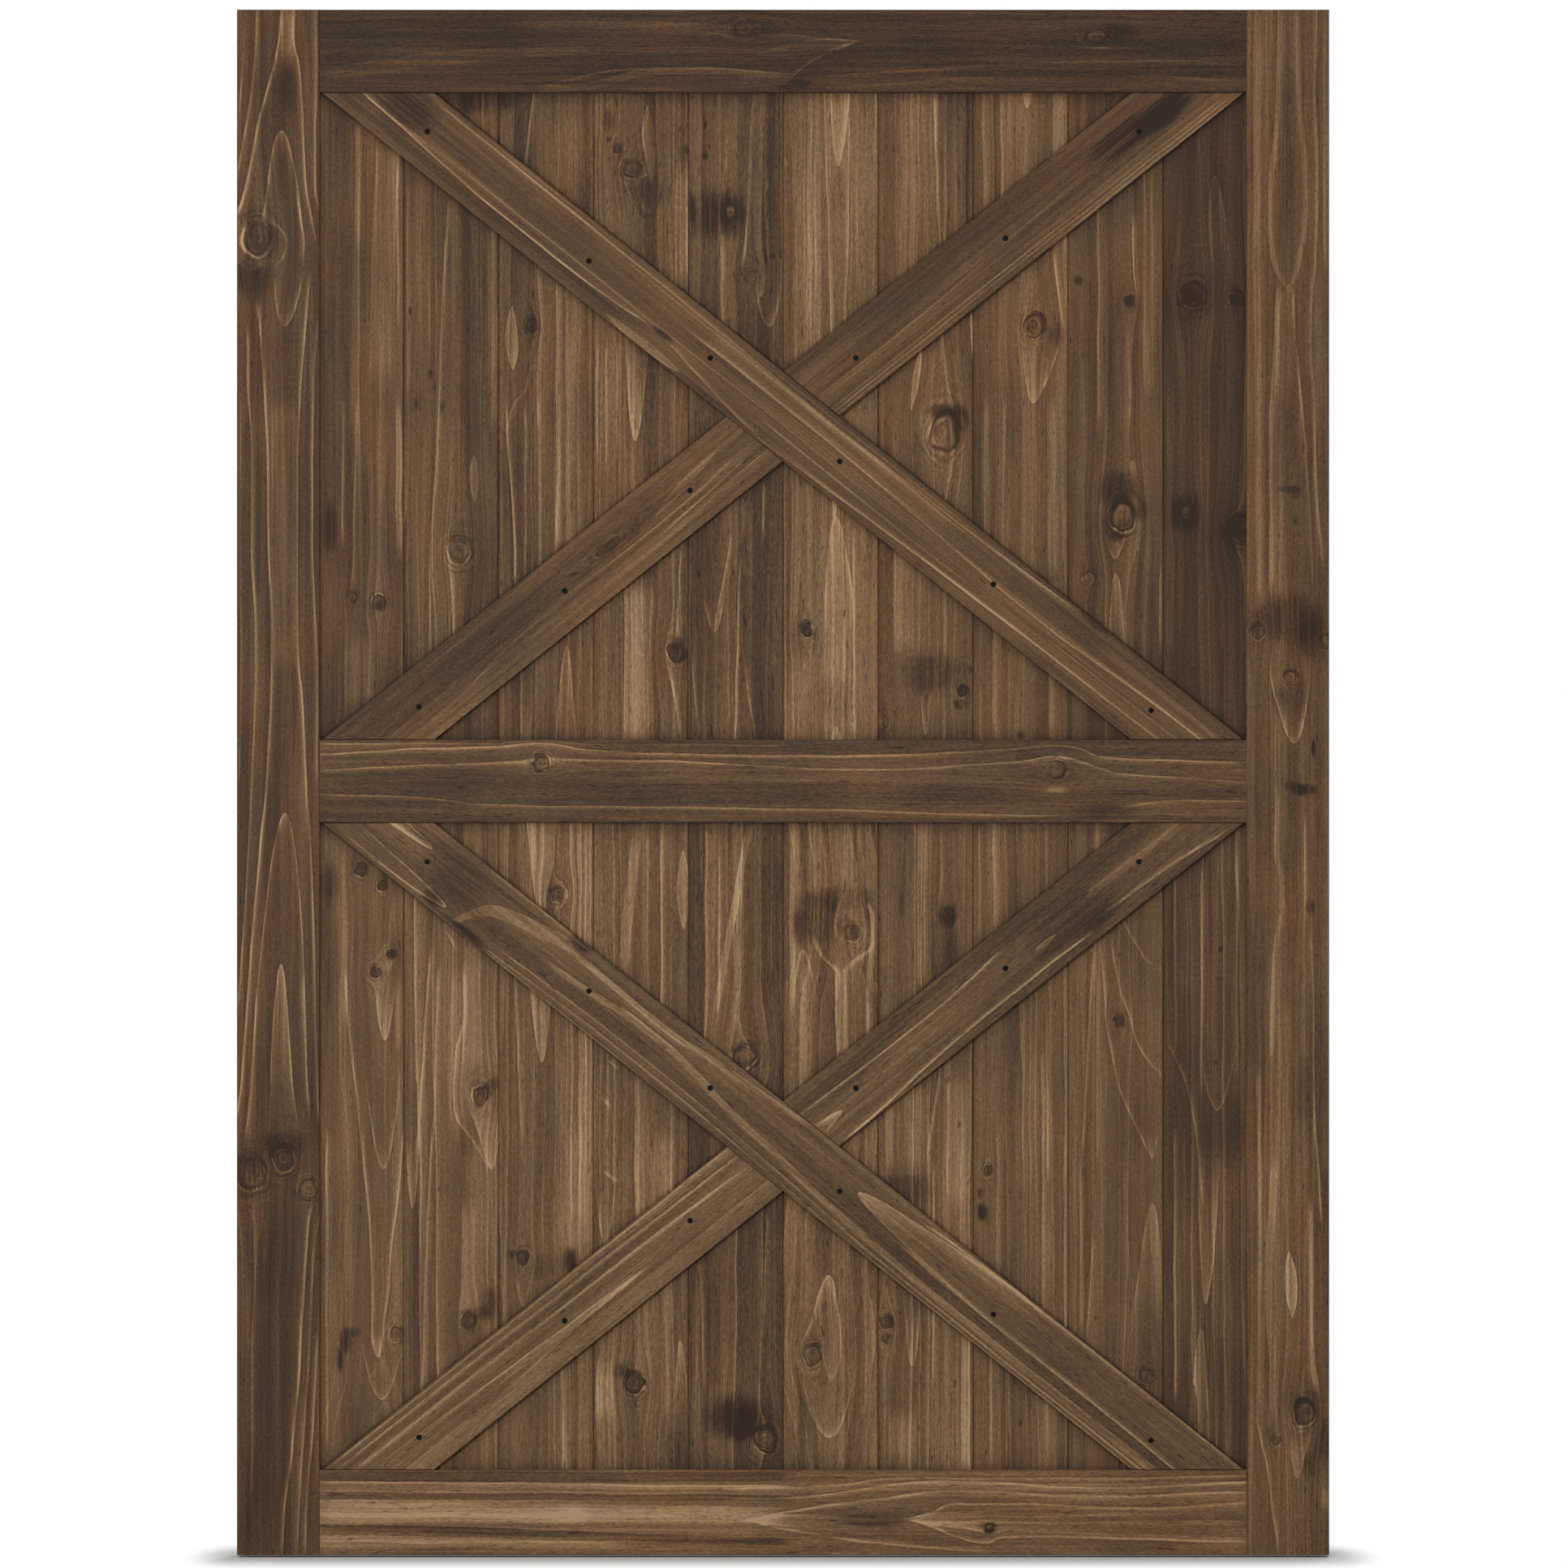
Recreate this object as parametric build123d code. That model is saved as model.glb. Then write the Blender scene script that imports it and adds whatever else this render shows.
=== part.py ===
from build123d import *
import os
from math import atan2, degrees, hypot, radians, sqrt, tan

# Double-X barn door leaf: a ploughed frame of stiles and rails holds two panels of
# tongue-and-groove planks, and each panel carries an X of screwed-on braces.
# Millimetres. +X runs to the right as seen from the front, the front faces -Y, +Z is up.
# The origin is the middle of the top edge, from which the leaf hangs.

# Leaf
door_height = 2133.6
door_width = 1508.0
door_thickness = 35.0

# Frame members
stile_width = 114.3
top_rail_height = 114.3
mid_rail_height = 114.3
bottom_rail_height = 117.5
frame_arris = 1.5            # radius on the long edges of stiles and rails
groove_depth = 18.0          # plough that holds the panels and the rail tenons
groove_clearance = 0.2       # on each face of what slides into the plough
tenon_end_gap = 0.5          # between a tenon's end and the bottom of the stile's plough

# Panels
panel_thickness = 15.0
planks_per_panel = 10
expansion_gap = 2.0          # room to swell at the sides and the top of a panel
plank_joint_gap = 0.4        # open line between the faces of two planks
plank_bevel = 0.8
tongue_thickness = 5.0
tongue_length = 6.0
tongue_clearance = 0.2       # on each face and at the tip of a tongue

# Braces
brace_width = 96.5
brace_thickness = 9.0
brace_bevel = 1.0
brace_rail_gap = 0.5         # between a brace's end and the rail
brace_stile_gap = 4.0        # between a brace's tip and the stile
brace_butt_gap = 0.5         # between a half brace and the brace that runs through

# Countersunk holes for the brace screws. A station is a share of the way from the crossing
# to a brace's end: negative towards the left, positive towards the right.
screw_hole_diameter = 4.5
screw_head_diameter = 8.5
countersink_angle = 90.0     # degrees across the cone
long_brace_stations = (-0.88, -0.48, -0.18, 0.14, 0.52, 0.91)
half_brace_stations = (-0.90, -0.54, -0.23, 0.18, 0.55, 0.88)

# Sizes that follow from the ones above
opening_width = door_width - 2 * stile_width
opening_height = (door_height - top_rail_height - mid_rail_height - bottom_rail_height) / 2
groove_width = panel_thickness + 2 * groove_clearance
tenon_length = groove_depth - tenon_end_gap
panel_width = opening_width + 2 * (groove_depth - expansion_gap)
plank_pitch = panel_width / planks_per_panel
plank_length = opening_height + 2 * groove_depth - expansion_gap
upper_opening_z = -top_rail_height - opening_height / 2
lower_opening_z = upper_opening_z - opening_height - mid_rail_height


def ploughed_section(width, groove_sides):
    """Section of a frame member: width along x, thickness along y, with a plough in each named side."""
    section = RectangleRounded(width, door_thickness, frame_arris)
    for side in groove_sides:
        section -= Pos(side * (width - groove_depth) / 2, 0) * Rectangle(groove_depth, groove_width)
    return section


def stile(side):
    """Upright over the full height, ploughed along its inner edge. Side is -1 for left, 1 for right."""
    section = ploughed_section(stile_width, [-side])
    centre_x = side * (door_width - stile_width) / 2
    return Pos(centre_x, 0, -door_height) * extrude(section, door_height)


def rail(height, centre_z, groove_sides):
    """Cross member between the stiles, with a stub tenon at each end.

    A groove side is 1 for the top edge, -1 for the bottom edge.
    """
    section_plane = Plane((-opening_width / 2, 0, centre_z), x_dir=(0, 0, 1), z_dir=(1, 0, 0))
    body = extrude(section_plane * ploughed_section(height, groove_sides), opening_width)
    tenon_height = height - groove_depth * len(groove_sides)
    tenon_z = centre_z - sum(groove_sides) * groove_depth / 2
    for side in (-1, 1):
        tenon_x = side * (opening_width + tenon_length) / 2
        body += Pos(tenon_x, 0, tenon_z) * Box(tenon_length, panel_thickness, tenon_height)
    return body


def plank(index, opening_z):
    """Upright plank standing on the bottom of the rail's plough. The last plank has its tongue sawn off."""
    width = plank_pitch - plank_joint_gap
    body = Rectangle(width, panel_thickness)
    section = chamfer(body.vertices(), plank_bevel)
    slot_depth = tongue_length + tongue_clearance
    slot_width = tongue_thickness + 2 * tongue_clearance
    section -= Pos((slot_depth - width) / 2, 0) * Rectangle(slot_depth, slot_width)
    if index < planks_per_panel - 1:
        section += Pos((width + tongue_length) / 2, 0) * Rectangle(tongue_length, tongue_thickness)
    centre_x = (index - (planks_per_panel - 1) / 2) * plank_pitch
    bottom_z = opening_z - opening_height / 2 - groove_depth
    return Pos(centre_x, 0, bottom_z) * extrude(section, plank_length)


def brace_frame():
    """Width and height of the field that a brace spans, and the length of its level cut along a rail.

    The cut c follows from the brace's width w across the grain: c * height / edge length = w.
    """
    width = opening_width - 2 * brace_stile_gap
    height = opening_height - 2 * brace_rail_gap
    root = height * sqrt(height**2 + width**2 - brace_width**2)
    cut = brace_width * (root - brace_width * width) / (height**2 - brace_width**2)
    return width, height, cut


def brace_outline(grow=0.0):
    """Brace that falls from the upper left corner to the lower right one, cut level along both rails.

    With grow it is wider by that much on each long edge and runs on past the rails.
    """
    width, height, cut = brace_frame()
    run = width - cut
    angle = degrees(atan2(-height, run))
    length = hypot(run, height)
    if grow:
        return Rot(0, 0, angle) * Rectangle(2 * length, brace_width + 2 * grow)
    corners = [
        (-width / 2, height / 2),
        (width / 2 - cut, -height / 2),
        (width / 2, -height / 2),
        (cut - width / 2, height / 2),
    ]
    return make_face(Polyline(*corners, close=True))


def screw_hole(station, rise):
    """Countersunk hole at a station of a brace. Rise is -1 on the falling brace, 1 on the rising one."""
    width, height, cut = brace_frame()
    x = station * (width - cut) / 2
    z = station * rise * height / 2
    countersink = (screw_head_diameter - screw_hole_diameter) / 2 / tan(radians(countersink_angle / 2))
    shank = Cylinder(screw_hole_diameter / 2, 3 * brace_thickness)
    cone = Pos(0, 0, brace_thickness - countersink / 2) * Cone(
        screw_hole_diameter / 2, screw_head_diameter / 2, countersink
    )
    return Pos(x, z, 0) * (shank + cone)


def brace(outline, stations, rise, opening_z):
    """One flat board of the X with its front edges bevelled, laid on the face of the planks."""
    board = extrude(outline, brace_thickness)
    front = board.faces().sort_by(Axis.Z)[-1]
    board = chamfer(front.edges(), brace_bevel)
    for station in stations:
        board -= screw_hole(station, rise)
    seat = Plane((0, -panel_thickness / 2, opening_z), x_dir=(1, 0, 0), z_dir=(0, -1, 0))
    return seat * board


def half_braces():
    """The rising brace, cut in two where the falling one runs through: left half first."""
    rising = mirror(brace_outline(), about=Plane.YZ)
    halves = (rising - brace_outline(grow=brace_butt_gap)).faces()
    return halves.sort_by(Axis.X)


def build():
    nodes = {
        "left_stile": stile(-1),
        "right_stile": stile(1),
        "top_rail": rail(top_rail_height, -top_rail_height / 2, [-1]),
        "mid_rail": rail(mid_rail_height, (upper_opening_z + lower_opening_z) / 2, [-1, 1]),
        "bottom_rail": rail(bottom_rail_height, bottom_rail_height / 2 - door_height, [1]),
    }
    left_half, right_half = half_braces()
    for level, opening_z in (("upper", upper_opening_z), ("lower", lower_opening_z)):
        for index in range(planks_per_panel):
            nodes[f"{level}_plank_{index + 1:02d}"] = plank(index, opening_z)
        left_stations = [s for s in half_brace_stations if s < 0]
        right_stations = [s for s in half_brace_stations if s > 0]
        nodes[f"{level}_long_brace"] = brace(brace_outline(), long_brace_stations, -1, opening_z)
        nodes[f"{level}_half_brace_left"] = brace(left_half, left_stations, 1, opening_z)
        nodes[f"{level}_half_brace_right"] = brace(right_half, right_stations, 1, opening_z)
    return nodes


os.makedirs("parts", exist_ok=True)
for name, shape in build().items():
    shape.label = name
    export_step(shape, f"parts/{name}.step")
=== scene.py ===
import math

import bpy
import numpy as np
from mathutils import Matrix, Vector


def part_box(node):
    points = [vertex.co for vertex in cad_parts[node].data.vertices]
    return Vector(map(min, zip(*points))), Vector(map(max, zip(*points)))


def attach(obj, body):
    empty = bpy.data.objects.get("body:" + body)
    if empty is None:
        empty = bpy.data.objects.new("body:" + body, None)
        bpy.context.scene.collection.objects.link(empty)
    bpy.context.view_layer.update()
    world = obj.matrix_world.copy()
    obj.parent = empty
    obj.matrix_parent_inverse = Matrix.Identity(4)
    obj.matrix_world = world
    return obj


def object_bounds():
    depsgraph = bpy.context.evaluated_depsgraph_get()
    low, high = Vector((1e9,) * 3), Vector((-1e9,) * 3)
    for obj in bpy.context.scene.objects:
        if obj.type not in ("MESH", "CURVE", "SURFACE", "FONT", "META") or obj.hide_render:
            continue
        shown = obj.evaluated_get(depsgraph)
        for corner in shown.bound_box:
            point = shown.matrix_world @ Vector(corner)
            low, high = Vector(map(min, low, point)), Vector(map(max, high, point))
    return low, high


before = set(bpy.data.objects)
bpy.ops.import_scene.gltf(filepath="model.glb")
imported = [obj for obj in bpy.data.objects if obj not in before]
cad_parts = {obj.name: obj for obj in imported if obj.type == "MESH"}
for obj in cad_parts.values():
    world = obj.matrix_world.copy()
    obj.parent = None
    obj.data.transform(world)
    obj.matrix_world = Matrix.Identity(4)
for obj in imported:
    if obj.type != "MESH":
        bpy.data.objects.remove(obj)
cadLow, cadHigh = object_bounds()
print("frame loaded:", len(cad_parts), "boards")

# Where the leaf stands in the square photo, in pixels
photo = {"left": 291.9, "right": 1637.8, "top": 11.9, "side": 1932}
pixel = (cadHigh.x - cadLow.x) / (photo["right"] - photo["left"])   # metres on the leaf
mm = 1000 * pixel                                                   # millimetres on the leaf
octaveFall = 0.55      # strength of each finer octave of noise against the one before


def fromPhoto(px, py):
    # a pixel of the photo as x and z on the leaf's face
    return cadLow.x + (px - photo["left"]) * pixel, cadHigh.z - (py - photo["top"]) * pixel


class Wire:
    # an output socket; sums and products of wires and numbers add Math nodes

    def __init__(self, socket):
        self.socket = socket
        self.tree = socket.id_data

    def node(self, kind, settings, sockets, out=0):
        made = self.tree.nodes.new("ShaderNode" + kind)
        for name, value in settings.items():
            if name == "stops":
                fillRamp(made.color_ramp, value)
            elif name in ("points", "knobs"):
                fillCurve(made.mapping, value, "AUTO_CLAMPED" if name == "knobs" else "VECTOR")
            else:
                setattr(made, name, value)
        for place, value in sockets.items():
            if isinstance(value, Wire):
                self.tree.links.new(made.inputs[place], value.socket)
            else:
                made.inputs[place].default_value = value
        return Wire(made.outputs[out])

    def output(self, place):
        return Wire(self.socket.node.outputs[place])

    def feed(self, shader, place):
        self.tree.links.new(shader.inputs[place], self.socket)

    def math(self, operation, *values):
        return self.node("Math", {"operation": operation}, dict(enumerate(values)))

    def __add__(self, other):
        return self.math("ADD", self, other)

    def __sub__(self, other):
        return self.math("SUBTRACT", self, other)

    def __rsub__(self, other):
        return self.math("SUBTRACT", other, self)

    def __mul__(self, other):
        return self.math("MULTIPLY", self, other)

    def __truediv__(self, other):
        return self.math("DIVIDE", self, other)

    def __rtruediv__(self, other):
        return self.math("DIVIDE", other, self)

    def __pow__(self, other):
        return self.math("POWER", self, other)

    def __abs__(self):
        return self.math("ABSOLUTE", self)

    __radd__ = __add__
    __rmul__ = __mul__

    def step(self, low, high):
        # 0 to 1 as the value goes from low to high, eased at both ends; low may be the higher
        sockets = {0: self, 1: low, 2: high, 3: 0.0, 4: 1.0}
        return self.node("MapRange", {"interpolation_type": "SMOOTHSTEP"}, sockets)

    def line(self, scale, shift):
        # value times scale plus shift, either of them a number or a wire
        return self.math("MULTIPLY_ADD", self, scale, shift)

    def bell(self):
        # e to the minus value
        return self.math("POWER", 1 / math.e, self)

    def curve(self, points, low=None, high=None):
        # straight lines through (place, value) points, level before the first and after the last
        low = points[0][0] if low is None else low
        high = points[-1][0] if high is None else high
        spots = [((place - low) / (high - low), value) for place, value in points]
        share = self.line(1 / (high - low), -low / (high - low))
        return self.node("FloatCurve", {"points": spots}, {0: 1.0, 1: share})

    def noise(self, scale, shift=(0.0, 0.0, 0.0), detail=0.0):
        # noise of this vector, -1 to 1 about 0
        place = self.node("VectorMath", {"operation": "MULTIPLY_ADD"}, {0: self, 1: scale, 2: shift})
        sockets = {"Vector": place, "Scale": 1.0, "Detail": detail, "Roughness": octaveFall}
        return self.node("TexNoise", {"normalize": False}, sockets)


def fillRamp(ramp, stops):
    while len(ramp.elements) < len(stops):
        ramp.elements.new(1.0)
    for element, (place, colour) in zip(ramp.elements, stops):
        element.position = place
        element.color = colour


def fillCurve(mapping, points, handle):
    line = mapping.curves[0].points
    while len(line) < len(points):
        line.new(1.0, 1.0)
    for knob, (x, y) in zip(line, points):
        knob.location = (x, y)
        knob.handle_type = handle
    mapping.extend = "HORIZONTAL"
    mapping.update()


def paint(text):
    # a colour written as red, green, blue in hex, as the linear colour that nodes take
    parts = [int(text[i:i + 2], 16) / 255 for i in (0, 2, 4)]
    linear = [c / 12.92 if c <= 0.04045 else ((c + 0.055) / 1.055) ** 2.4 for c in parts]
    return (*linear, 1.0)


def newMaterial(name):
    # a material with only a Principled shader, and the wire of its object coordinates
    material = bpy.data.materials.new(name)
    material.use_nodes = True
    tree = material.node_tree
    shader = tree.nodes["Principled BSDF"]
    place = Wire(tree.nodes.new("ShaderNodeTexCoord").outputs["Object"])
    return material, shader, place


def grouped(name, build, wires, *numbers):
    # the nodes that build makes from wires and numbers, in a node group of their own
    tree = bpy.data.node_groups.new(name, "ShaderNodeTree")
    for number in range(len(wires)):
        tree.interface.new_socket(f"in {number}", in_out="INPUT", socket_type="NodeSocketFloat")
    tree.interface.new_socket("out", in_out="OUTPUT", socket_type="NodeSocketFloat")
    enter = tree.nodes.new("NodeGroupInput")
    leave = tree.nodes.new("NodeGroupOutput")
    result = build(*[Wire(socket) for socket in enter.outputs[:len(wires)]], *numbers)
    tree.links.new(leave.inputs[0], result.socket)
    return wires[0].node("Group", {"node_tree": tree}, dict(enumerate(wires)))


def triple(x, y, z):
    return x.node("CombineXYZ", {}, {0: x, 1: y, 2: z})


def smoothLine(share, low, high, points):
    # a smooth curve through given points (place, value), read at a share of the way from low to high
    values = [value for place, value in points]
    least, spread = min(values), max(max(values) - min(values), 1e-6)
    knobs = sorted(((place - low) / (high - low), (value - least) / spread) for place, value in points)
    return share.node("FloatCurve", {"knobs": knobs}, {0: 1.0, 1: share}).line(spread, least)


# Stained softwood: tone 0 is the darkest stain, tone 1 the palest latewood
stain = {
    "stops": [(0.00, paint("2a1e15")), (0.25, paint("453324")), (0.50, paint("634c34")),
              (0.75, paint("846a4c")), (1.00, paint("a58a69"))],
    "redder": (1.06, 0.96, 0.90, 1.0),
    "gain": 1.22,            # contrast about the middle tone
    "middle": 0.405,
    "fibre": 0.08,           # how far each layer moves the tone
    "hair": 0.14,
    "streak": 0.05,
    "cloud": 0.08,
    "pit": 0.20,
    "figure": 1.4,           # strength of the listed pale figure
    "patchy": 1.2,           # how far streaks break up the clouds
    "shade": 0.18,           # painted shade beside braces and under rails
    "rimWidth": 4.0,         # darker long edges, millimetres
    "frontShare": (0.65, 0.35),    # of the thickness, over which the listed figure fades in to the front
    "inward": (0.1, 1.2),          # millimetres from the narrow edges, over which it fades in
    "wornDark": (3.0, 0.0, 0.5),   # painted shade on a brace's lower edge: from, to, share of the edge strength
    "edgeWearAndHighlight": (2.2, 0.6),        # painted highlight, with some wear, on its upper edge
    "specular": 0.12,
    "roughness": 0.62,
    "roughFibre": 0.12,
    "bumpStrength": 0.7,
    "bumpDepth": 0.0001,     # metres
}

# Layers of noise: change across, into and along the grain for each millimetre, and octaves past the first
layers = {
    "ripple": ((0.03, 0.03, 0.010), 1.0),
    "drift": ((0.004, 0.004, 0.0028), 0.0),
    "fray": ((0.3, 0.3, 0.012), 0.0),
    "uneven": ((0.5, 7.0, 1.0), 1.0),           # for each ring, and from side to side of the heart
    "fibre": ((0.5, 0.5, 0.014), 1.0),
    "hair": ((0.8, 0.8, 0.2), 0.0),
    "streak": ((0.16, 0.16, 0.0026), 1.0),
    "plate": ((0.045, 0.045, 0.0011), 1.0),
    "zone": ((0.028, 0.028, 0.0012), 0.0),
    "fine": ((0.27, 0.27, 0.0016), 1.0),
    "pit": ((0.36, 0.36, 0.05), 0.0),
    "cloud": ((0.014, 0.014, 0.005), 1.0),
    "hue": ((0.02, 0.02, 0.006), 0.0),
    "relief": ((0.8, 0.8, 0.016), 0.0),
}
edges = {"plate": (0.0, 0.07), "zone": (-0.2, 0.2), "fine": (0.08, 0.26), "pit": (0.5, 0.66),
         "hue": (-0.4, 0.5)}
seedStep = (17.3, 5.1, 29.7)     # how far apart two boards' noise lies


def layer(place, name, shift):
    # one layer of noise, sharpened where it has edges
    scale, detail = layers[name]
    noise = place.noise(scale, shift, detail)
    return noise.step(*edges[name]) if name in edges else noise


# The braces' slope, from the corners of the brace that runs through and its level cut
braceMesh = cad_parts["upper_long_brace"].data
braceCorners = np.empty(len(braceMesh.vertices) * 3)
braceMesh.vertices.foreach_get("co", braceCorners)
braceCorners = braceCorners.reshape(-1, 3)
braceLow, braceHigh = braceCorners.min(0), braceCorners.max(0)
onTop = braceCorners[:, 2] > braceHigh[2] - 1e-4
levelCut = np.ptp(braceCorners[onTop][:, 0])
braceRun, braceFall = braceHigh[0] - braceLow[0] - levelCut, braceHigh[2] - braceLow[2]
braceWidth = levelCut * braceFall / math.hypot(braceRun, braceFall)
slope = math.atan2(braceFall, braceRun)
turns = {"upright": 0.0, "level": math.pi / 2}
turns["falling"] = turns["level"] + slope
turns["rising"] = turns["level"] - slope
print("brace slope:", round(math.degrees(slope), 2), "degrees, width:", round(1000 * braceWidth, 1), "mm")

# Growth rings; a pair is the least and what chance adds
rings = {
    "uneven": 1.1,
    "fray": 0.05,                # raggedness of a ring's edge, in rings
    "seedStep": 3.7,
    "lineSharp": (5.0, 14.0),    # of the pale line that a ring ends in
    "lineLift": 0.8,
    "strength": (0.2, 1.1),
    "level": (-0.2, 0.4),
    "body": [(0.0, -0.4), (0.06, -0.1), (0.16, 0.0), (0.75, 0.04), (1.0, 0.25)],
}


def ringsOf(grain, shift, parted, depth, heartU, heartRing, swell, board):
    # rings are numbered along the heart line and counted outwards from it; each ends in a thin pale line
    flat, spacing = board["flat"], board["spacing"]
    out = layer(grain, "drift", shift).line(board["drift"], parted - heartU)
    deep = depth + flat
    count = ((out * out + deep * deep) ** 0.5).line(1 / spacing, -flat / spacing)
    lane = triple(count, out.step(-1.0, 1.0), 0.0)
    uneven = layer(lane, "uneven", shift) * count.math("MINIMUM", count, 1.0)
    ragged = layer(grain, "fray", shift).line(rings["fray"], heartRing + count)
    number = uneven.line(rings["uneven"], ragged) - swell
    index = number.math("FLOOR", number)
    phase = number - index
    chance = {"W": index + board["seed"] * rings["seedStep"]}
    dice = number.node("TexWhiteNoise", {"noise_dimensions": "1D"}, chance, out=1)
    dice = dice.node("SeparateColor", {}, {0: dice})
    thin = phase ** dice.output(1).line(*rings["lineSharp"][::-1])
    strength = (dice * dice).line(*rings["strength"][::-1])
    level = dice.output(2).line(*rings["level"][::-1])
    return thin.line(rings["lineLift"], phase.curve(rings["body"])).line(strength, level)


# Pale bands, in millimetres across; values are shares of the band's lift
band = {
    "wide": 3.5,         # half width past which the middle is less pale than the rims
    "crisp": 0.7,        # half of the step at a rim
    "rim": 2.2,
    "fill": 0.78,
    "darkEdge": (3.0, -0.22),       # reach and value on one side
    "shoulder": (6.0, 0.4),         # reach and value on the other
    "shoulderFall": (2.4, 0.16),
    "ends": 14.0,        # fade at both ends
    "endShare": 0.3,     # of the length, at most
}


def bandOf(parted, v, half, spots):
    # a pale band along a given line: crisp rims, a soft shoulder on one side, a dark edge on the other
    low, high = spots[0][0], spots[-1][0]
    reach = high - low
    share = v.line(1 / reach, -low / reach)
    way = parted - smoothLine(share, low, high, spots)
    if half < 0:
        way = way * -1.0
    half = abs(half)
    crisp, rim, fill = band["crisp"], band["rim"], band["fill"]
    darkReach, dark = band["darkEdge"]
    softReach, soft = band["shoulder"]
    fallReach, fall = band["shoulderFall"]
    middle = [(rim - half, fill), (half - rim, fill)] if half > band["wide"] else []
    profile = [(-half - darkReach, 0.0), (-half - crisp, dark), (crisp - half, 1.0), *middle,
               (half - crisp, 1.0), (half + crisp, soft), (half + fallReach, fall), (half + softReach, 0.0)]
    fade = min(band["ends"] / reach, band["endShare"])
    ends = [(-fade, 0.0), (fade, 1.0), (1 - fade, 1.0), (1 + fade, 0.0)]
    return way.curve(profile) * share.curve(ends, -0.2, 1.2)


# Arches and almonds: value by millimetres inside an arch, or by share inside an almond
arch = {"rim": [(-4.0, 0.0), (-0.8, -0.15), (0.5, 1.35), (1.6, 1.0), (6.0, 0.85)], "fadeShare": 0.5}
almond = {"rim": [(-0.3, 0.0), (-0.1, -0.15), (0.06, 1.2), (0.3, 0.85), (1.0, 0.7)]}


def archOf(parted, v, tip, foot, half, fill):
    # a parabola with its top at the tip, pale along its rim, fading inwards and towards the foot
    reach = abs(foot[1] - tip[1])
    side = 1.0 if foot[1] > tip[1] else -1.0
    lean = (foot[0] - tip[0]) / reach
    bend = reach / (half * half)
    down = v.line(side, -side * tip[1])
    way = down.line(-lean, parted) - tip[0]
    square = way * way
    inner = square.line(-bend, down)
    steep = square.line(4 * bend * bend, 1.0)
    gap = inner * steep.math("INVERSE_SQRT", steep)
    depth = inner.math("MAXIMUM", inner, 0.0) * (1 / (fill * reach))
    return gap.curve(arch["rim"]) * depth.bell() * down.step(reach, reach * arch["fadeShare"])


def lensOf(parted, v, tip, foot, half):
    # an almond between two tips, pale along its rim
    middle = ((tip[0] + foot[0]) / 2, (tip[1] + foot[1]) / 2)
    reach = (foot[1] - tip[1]) / 2
    share = v.line(1 / reach, -middle[1] / reach)
    way = abs(share.line((tip[0] - foot[0]) / 2, parted) - middle[0])
    return way.line(-1 / half, (share * share).line(-1.0, 1.0)).curve(almond["rim"])


# Stains
spot = {"ragged": 0.2}


def spotOf(parted, v, ragged, middle, halves):
    # a round stain, ragged along the grain: e to the minus fourth power of the distance
    across = parted.line(1 / halves[0], -middle[0] / halves[0])
    along = v.line(1 / halves[1], -middle[1] / halves[1])
    far = ragged.line(spot["ragged"], along.line(along, across * across))
    far = far.math("MAXIMUM", far, 0.0)
    return (far * far).bell()


# Knots; places are shares of a knot's own size from its middle
knot = {
    "push": 0.7,                 # how far the grain parts
    "pushReach": (0.207, 0.069),     # how soon that ends, across and along
    "swell": 0.6,                # rings pushed aside
    "seedStep": (1.7, 3.1),      # from board to board, and from knot to knot
    "outline": (0.9, 0.9, 1.0),      # change of the outline across, along and between knots
    "stray": 0.28,
    "fray": 0.08,
    "ringlets": (0.8, 0.8, 4.4),     # change round the knot, and outwards
    "ringletMiddle": 0.15,
    "growth": [(0.0, 0.20), (0.9, 0.22), (1.3, 0.20), (2.4, 0.0)],
    "heavy": (-0.3, 0.7),        # where the crescent's side begins and is full
    "hoodShift": 0.22,           # the crescent's own circle is off the middle
    "hood": (1.32, 1.04),
    "hoodInside": (0.82, 1.0),
    "halo": [(0.0, 1.0), (0.9, 0.85), (1.5, 0.45), (2.2, 0.15), (3.0, 0.0)],
    "arcs": [(0.84, 0.0), (0.98, -0.15), (1.14, 0.28), (1.32, 0.0), (1.44, -0.05), (1.58, 0.10),
             (1.76, 0.0), (1.98, 0.05), (2.2, 0.0)],
    "arcReach": (0.0, 3.0),
    "arcFade": 0.8,              # arcs are weaker on the crescent's side
    "arcTone": (1.6, 0.15),      # and stronger on pale wood
    "arcBreak": 4.0,
    "inside": (1.04, 0.88),
    "insideLight": (0.25, 0.75),
    "fibre": 0.2,
}


def knotOf(tone, fibre, across, along, acrossTwo, alongTwo, seed, core, halo, dark, sideU, sideV):
    # broken rings in and round it, a dark crescent on one side, pale arcs on the other, a stained halo
    wobble = triple(across, along, seed).noise(knot["outline"]) * knot["stray"]
    farTwo = acrossTwo + alongTwo
    plain = farTwo ** 0.5
    far = fibre.line(knot["fray"], plain + wobble)
    turned = along.line(sideV, across * sideU)
    heavy = (turned / (plain + 0.01)).step(*knot["heavy"])
    hood = turned.line(-2 * knot["hoodShift"], farTwo + knot["hoodShift"] ** 2) ** 0.5 + wobble
    crescent = hood.step(*knot["hood"]) * far.step(*knot["hoodInside"])
    turnwise = 1.0 / (plain + knot["ringletMiddle"])
    ringlets = triple(across * turnwise, along * turnwise, far + seed).noise(knot["ringlets"], detail=1.0)
    growth = ringlets * far.curve(knot["growth"])
    arcs = far.curve(knot["arcs"], *knot["arcReach"])
    broken = wobble.line(knot["arcBreak"], 1.0)
    lift = heavy.line(-knot["arcFade"], 1.0) * tone.line(*knot["arcTone"]) * broken
    tone = arcs.line(lift, far.curve(knot["halo"]).line(-halo, tone + growth))
    inside = far.step(*knot["inside"]) * heavy.line(*knot["insideLight"])
    filled = fibre.line(knot["fibre"], growth + core) - tone
    return crescent.line(-dark, inside.line(filled, tone))
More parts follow.
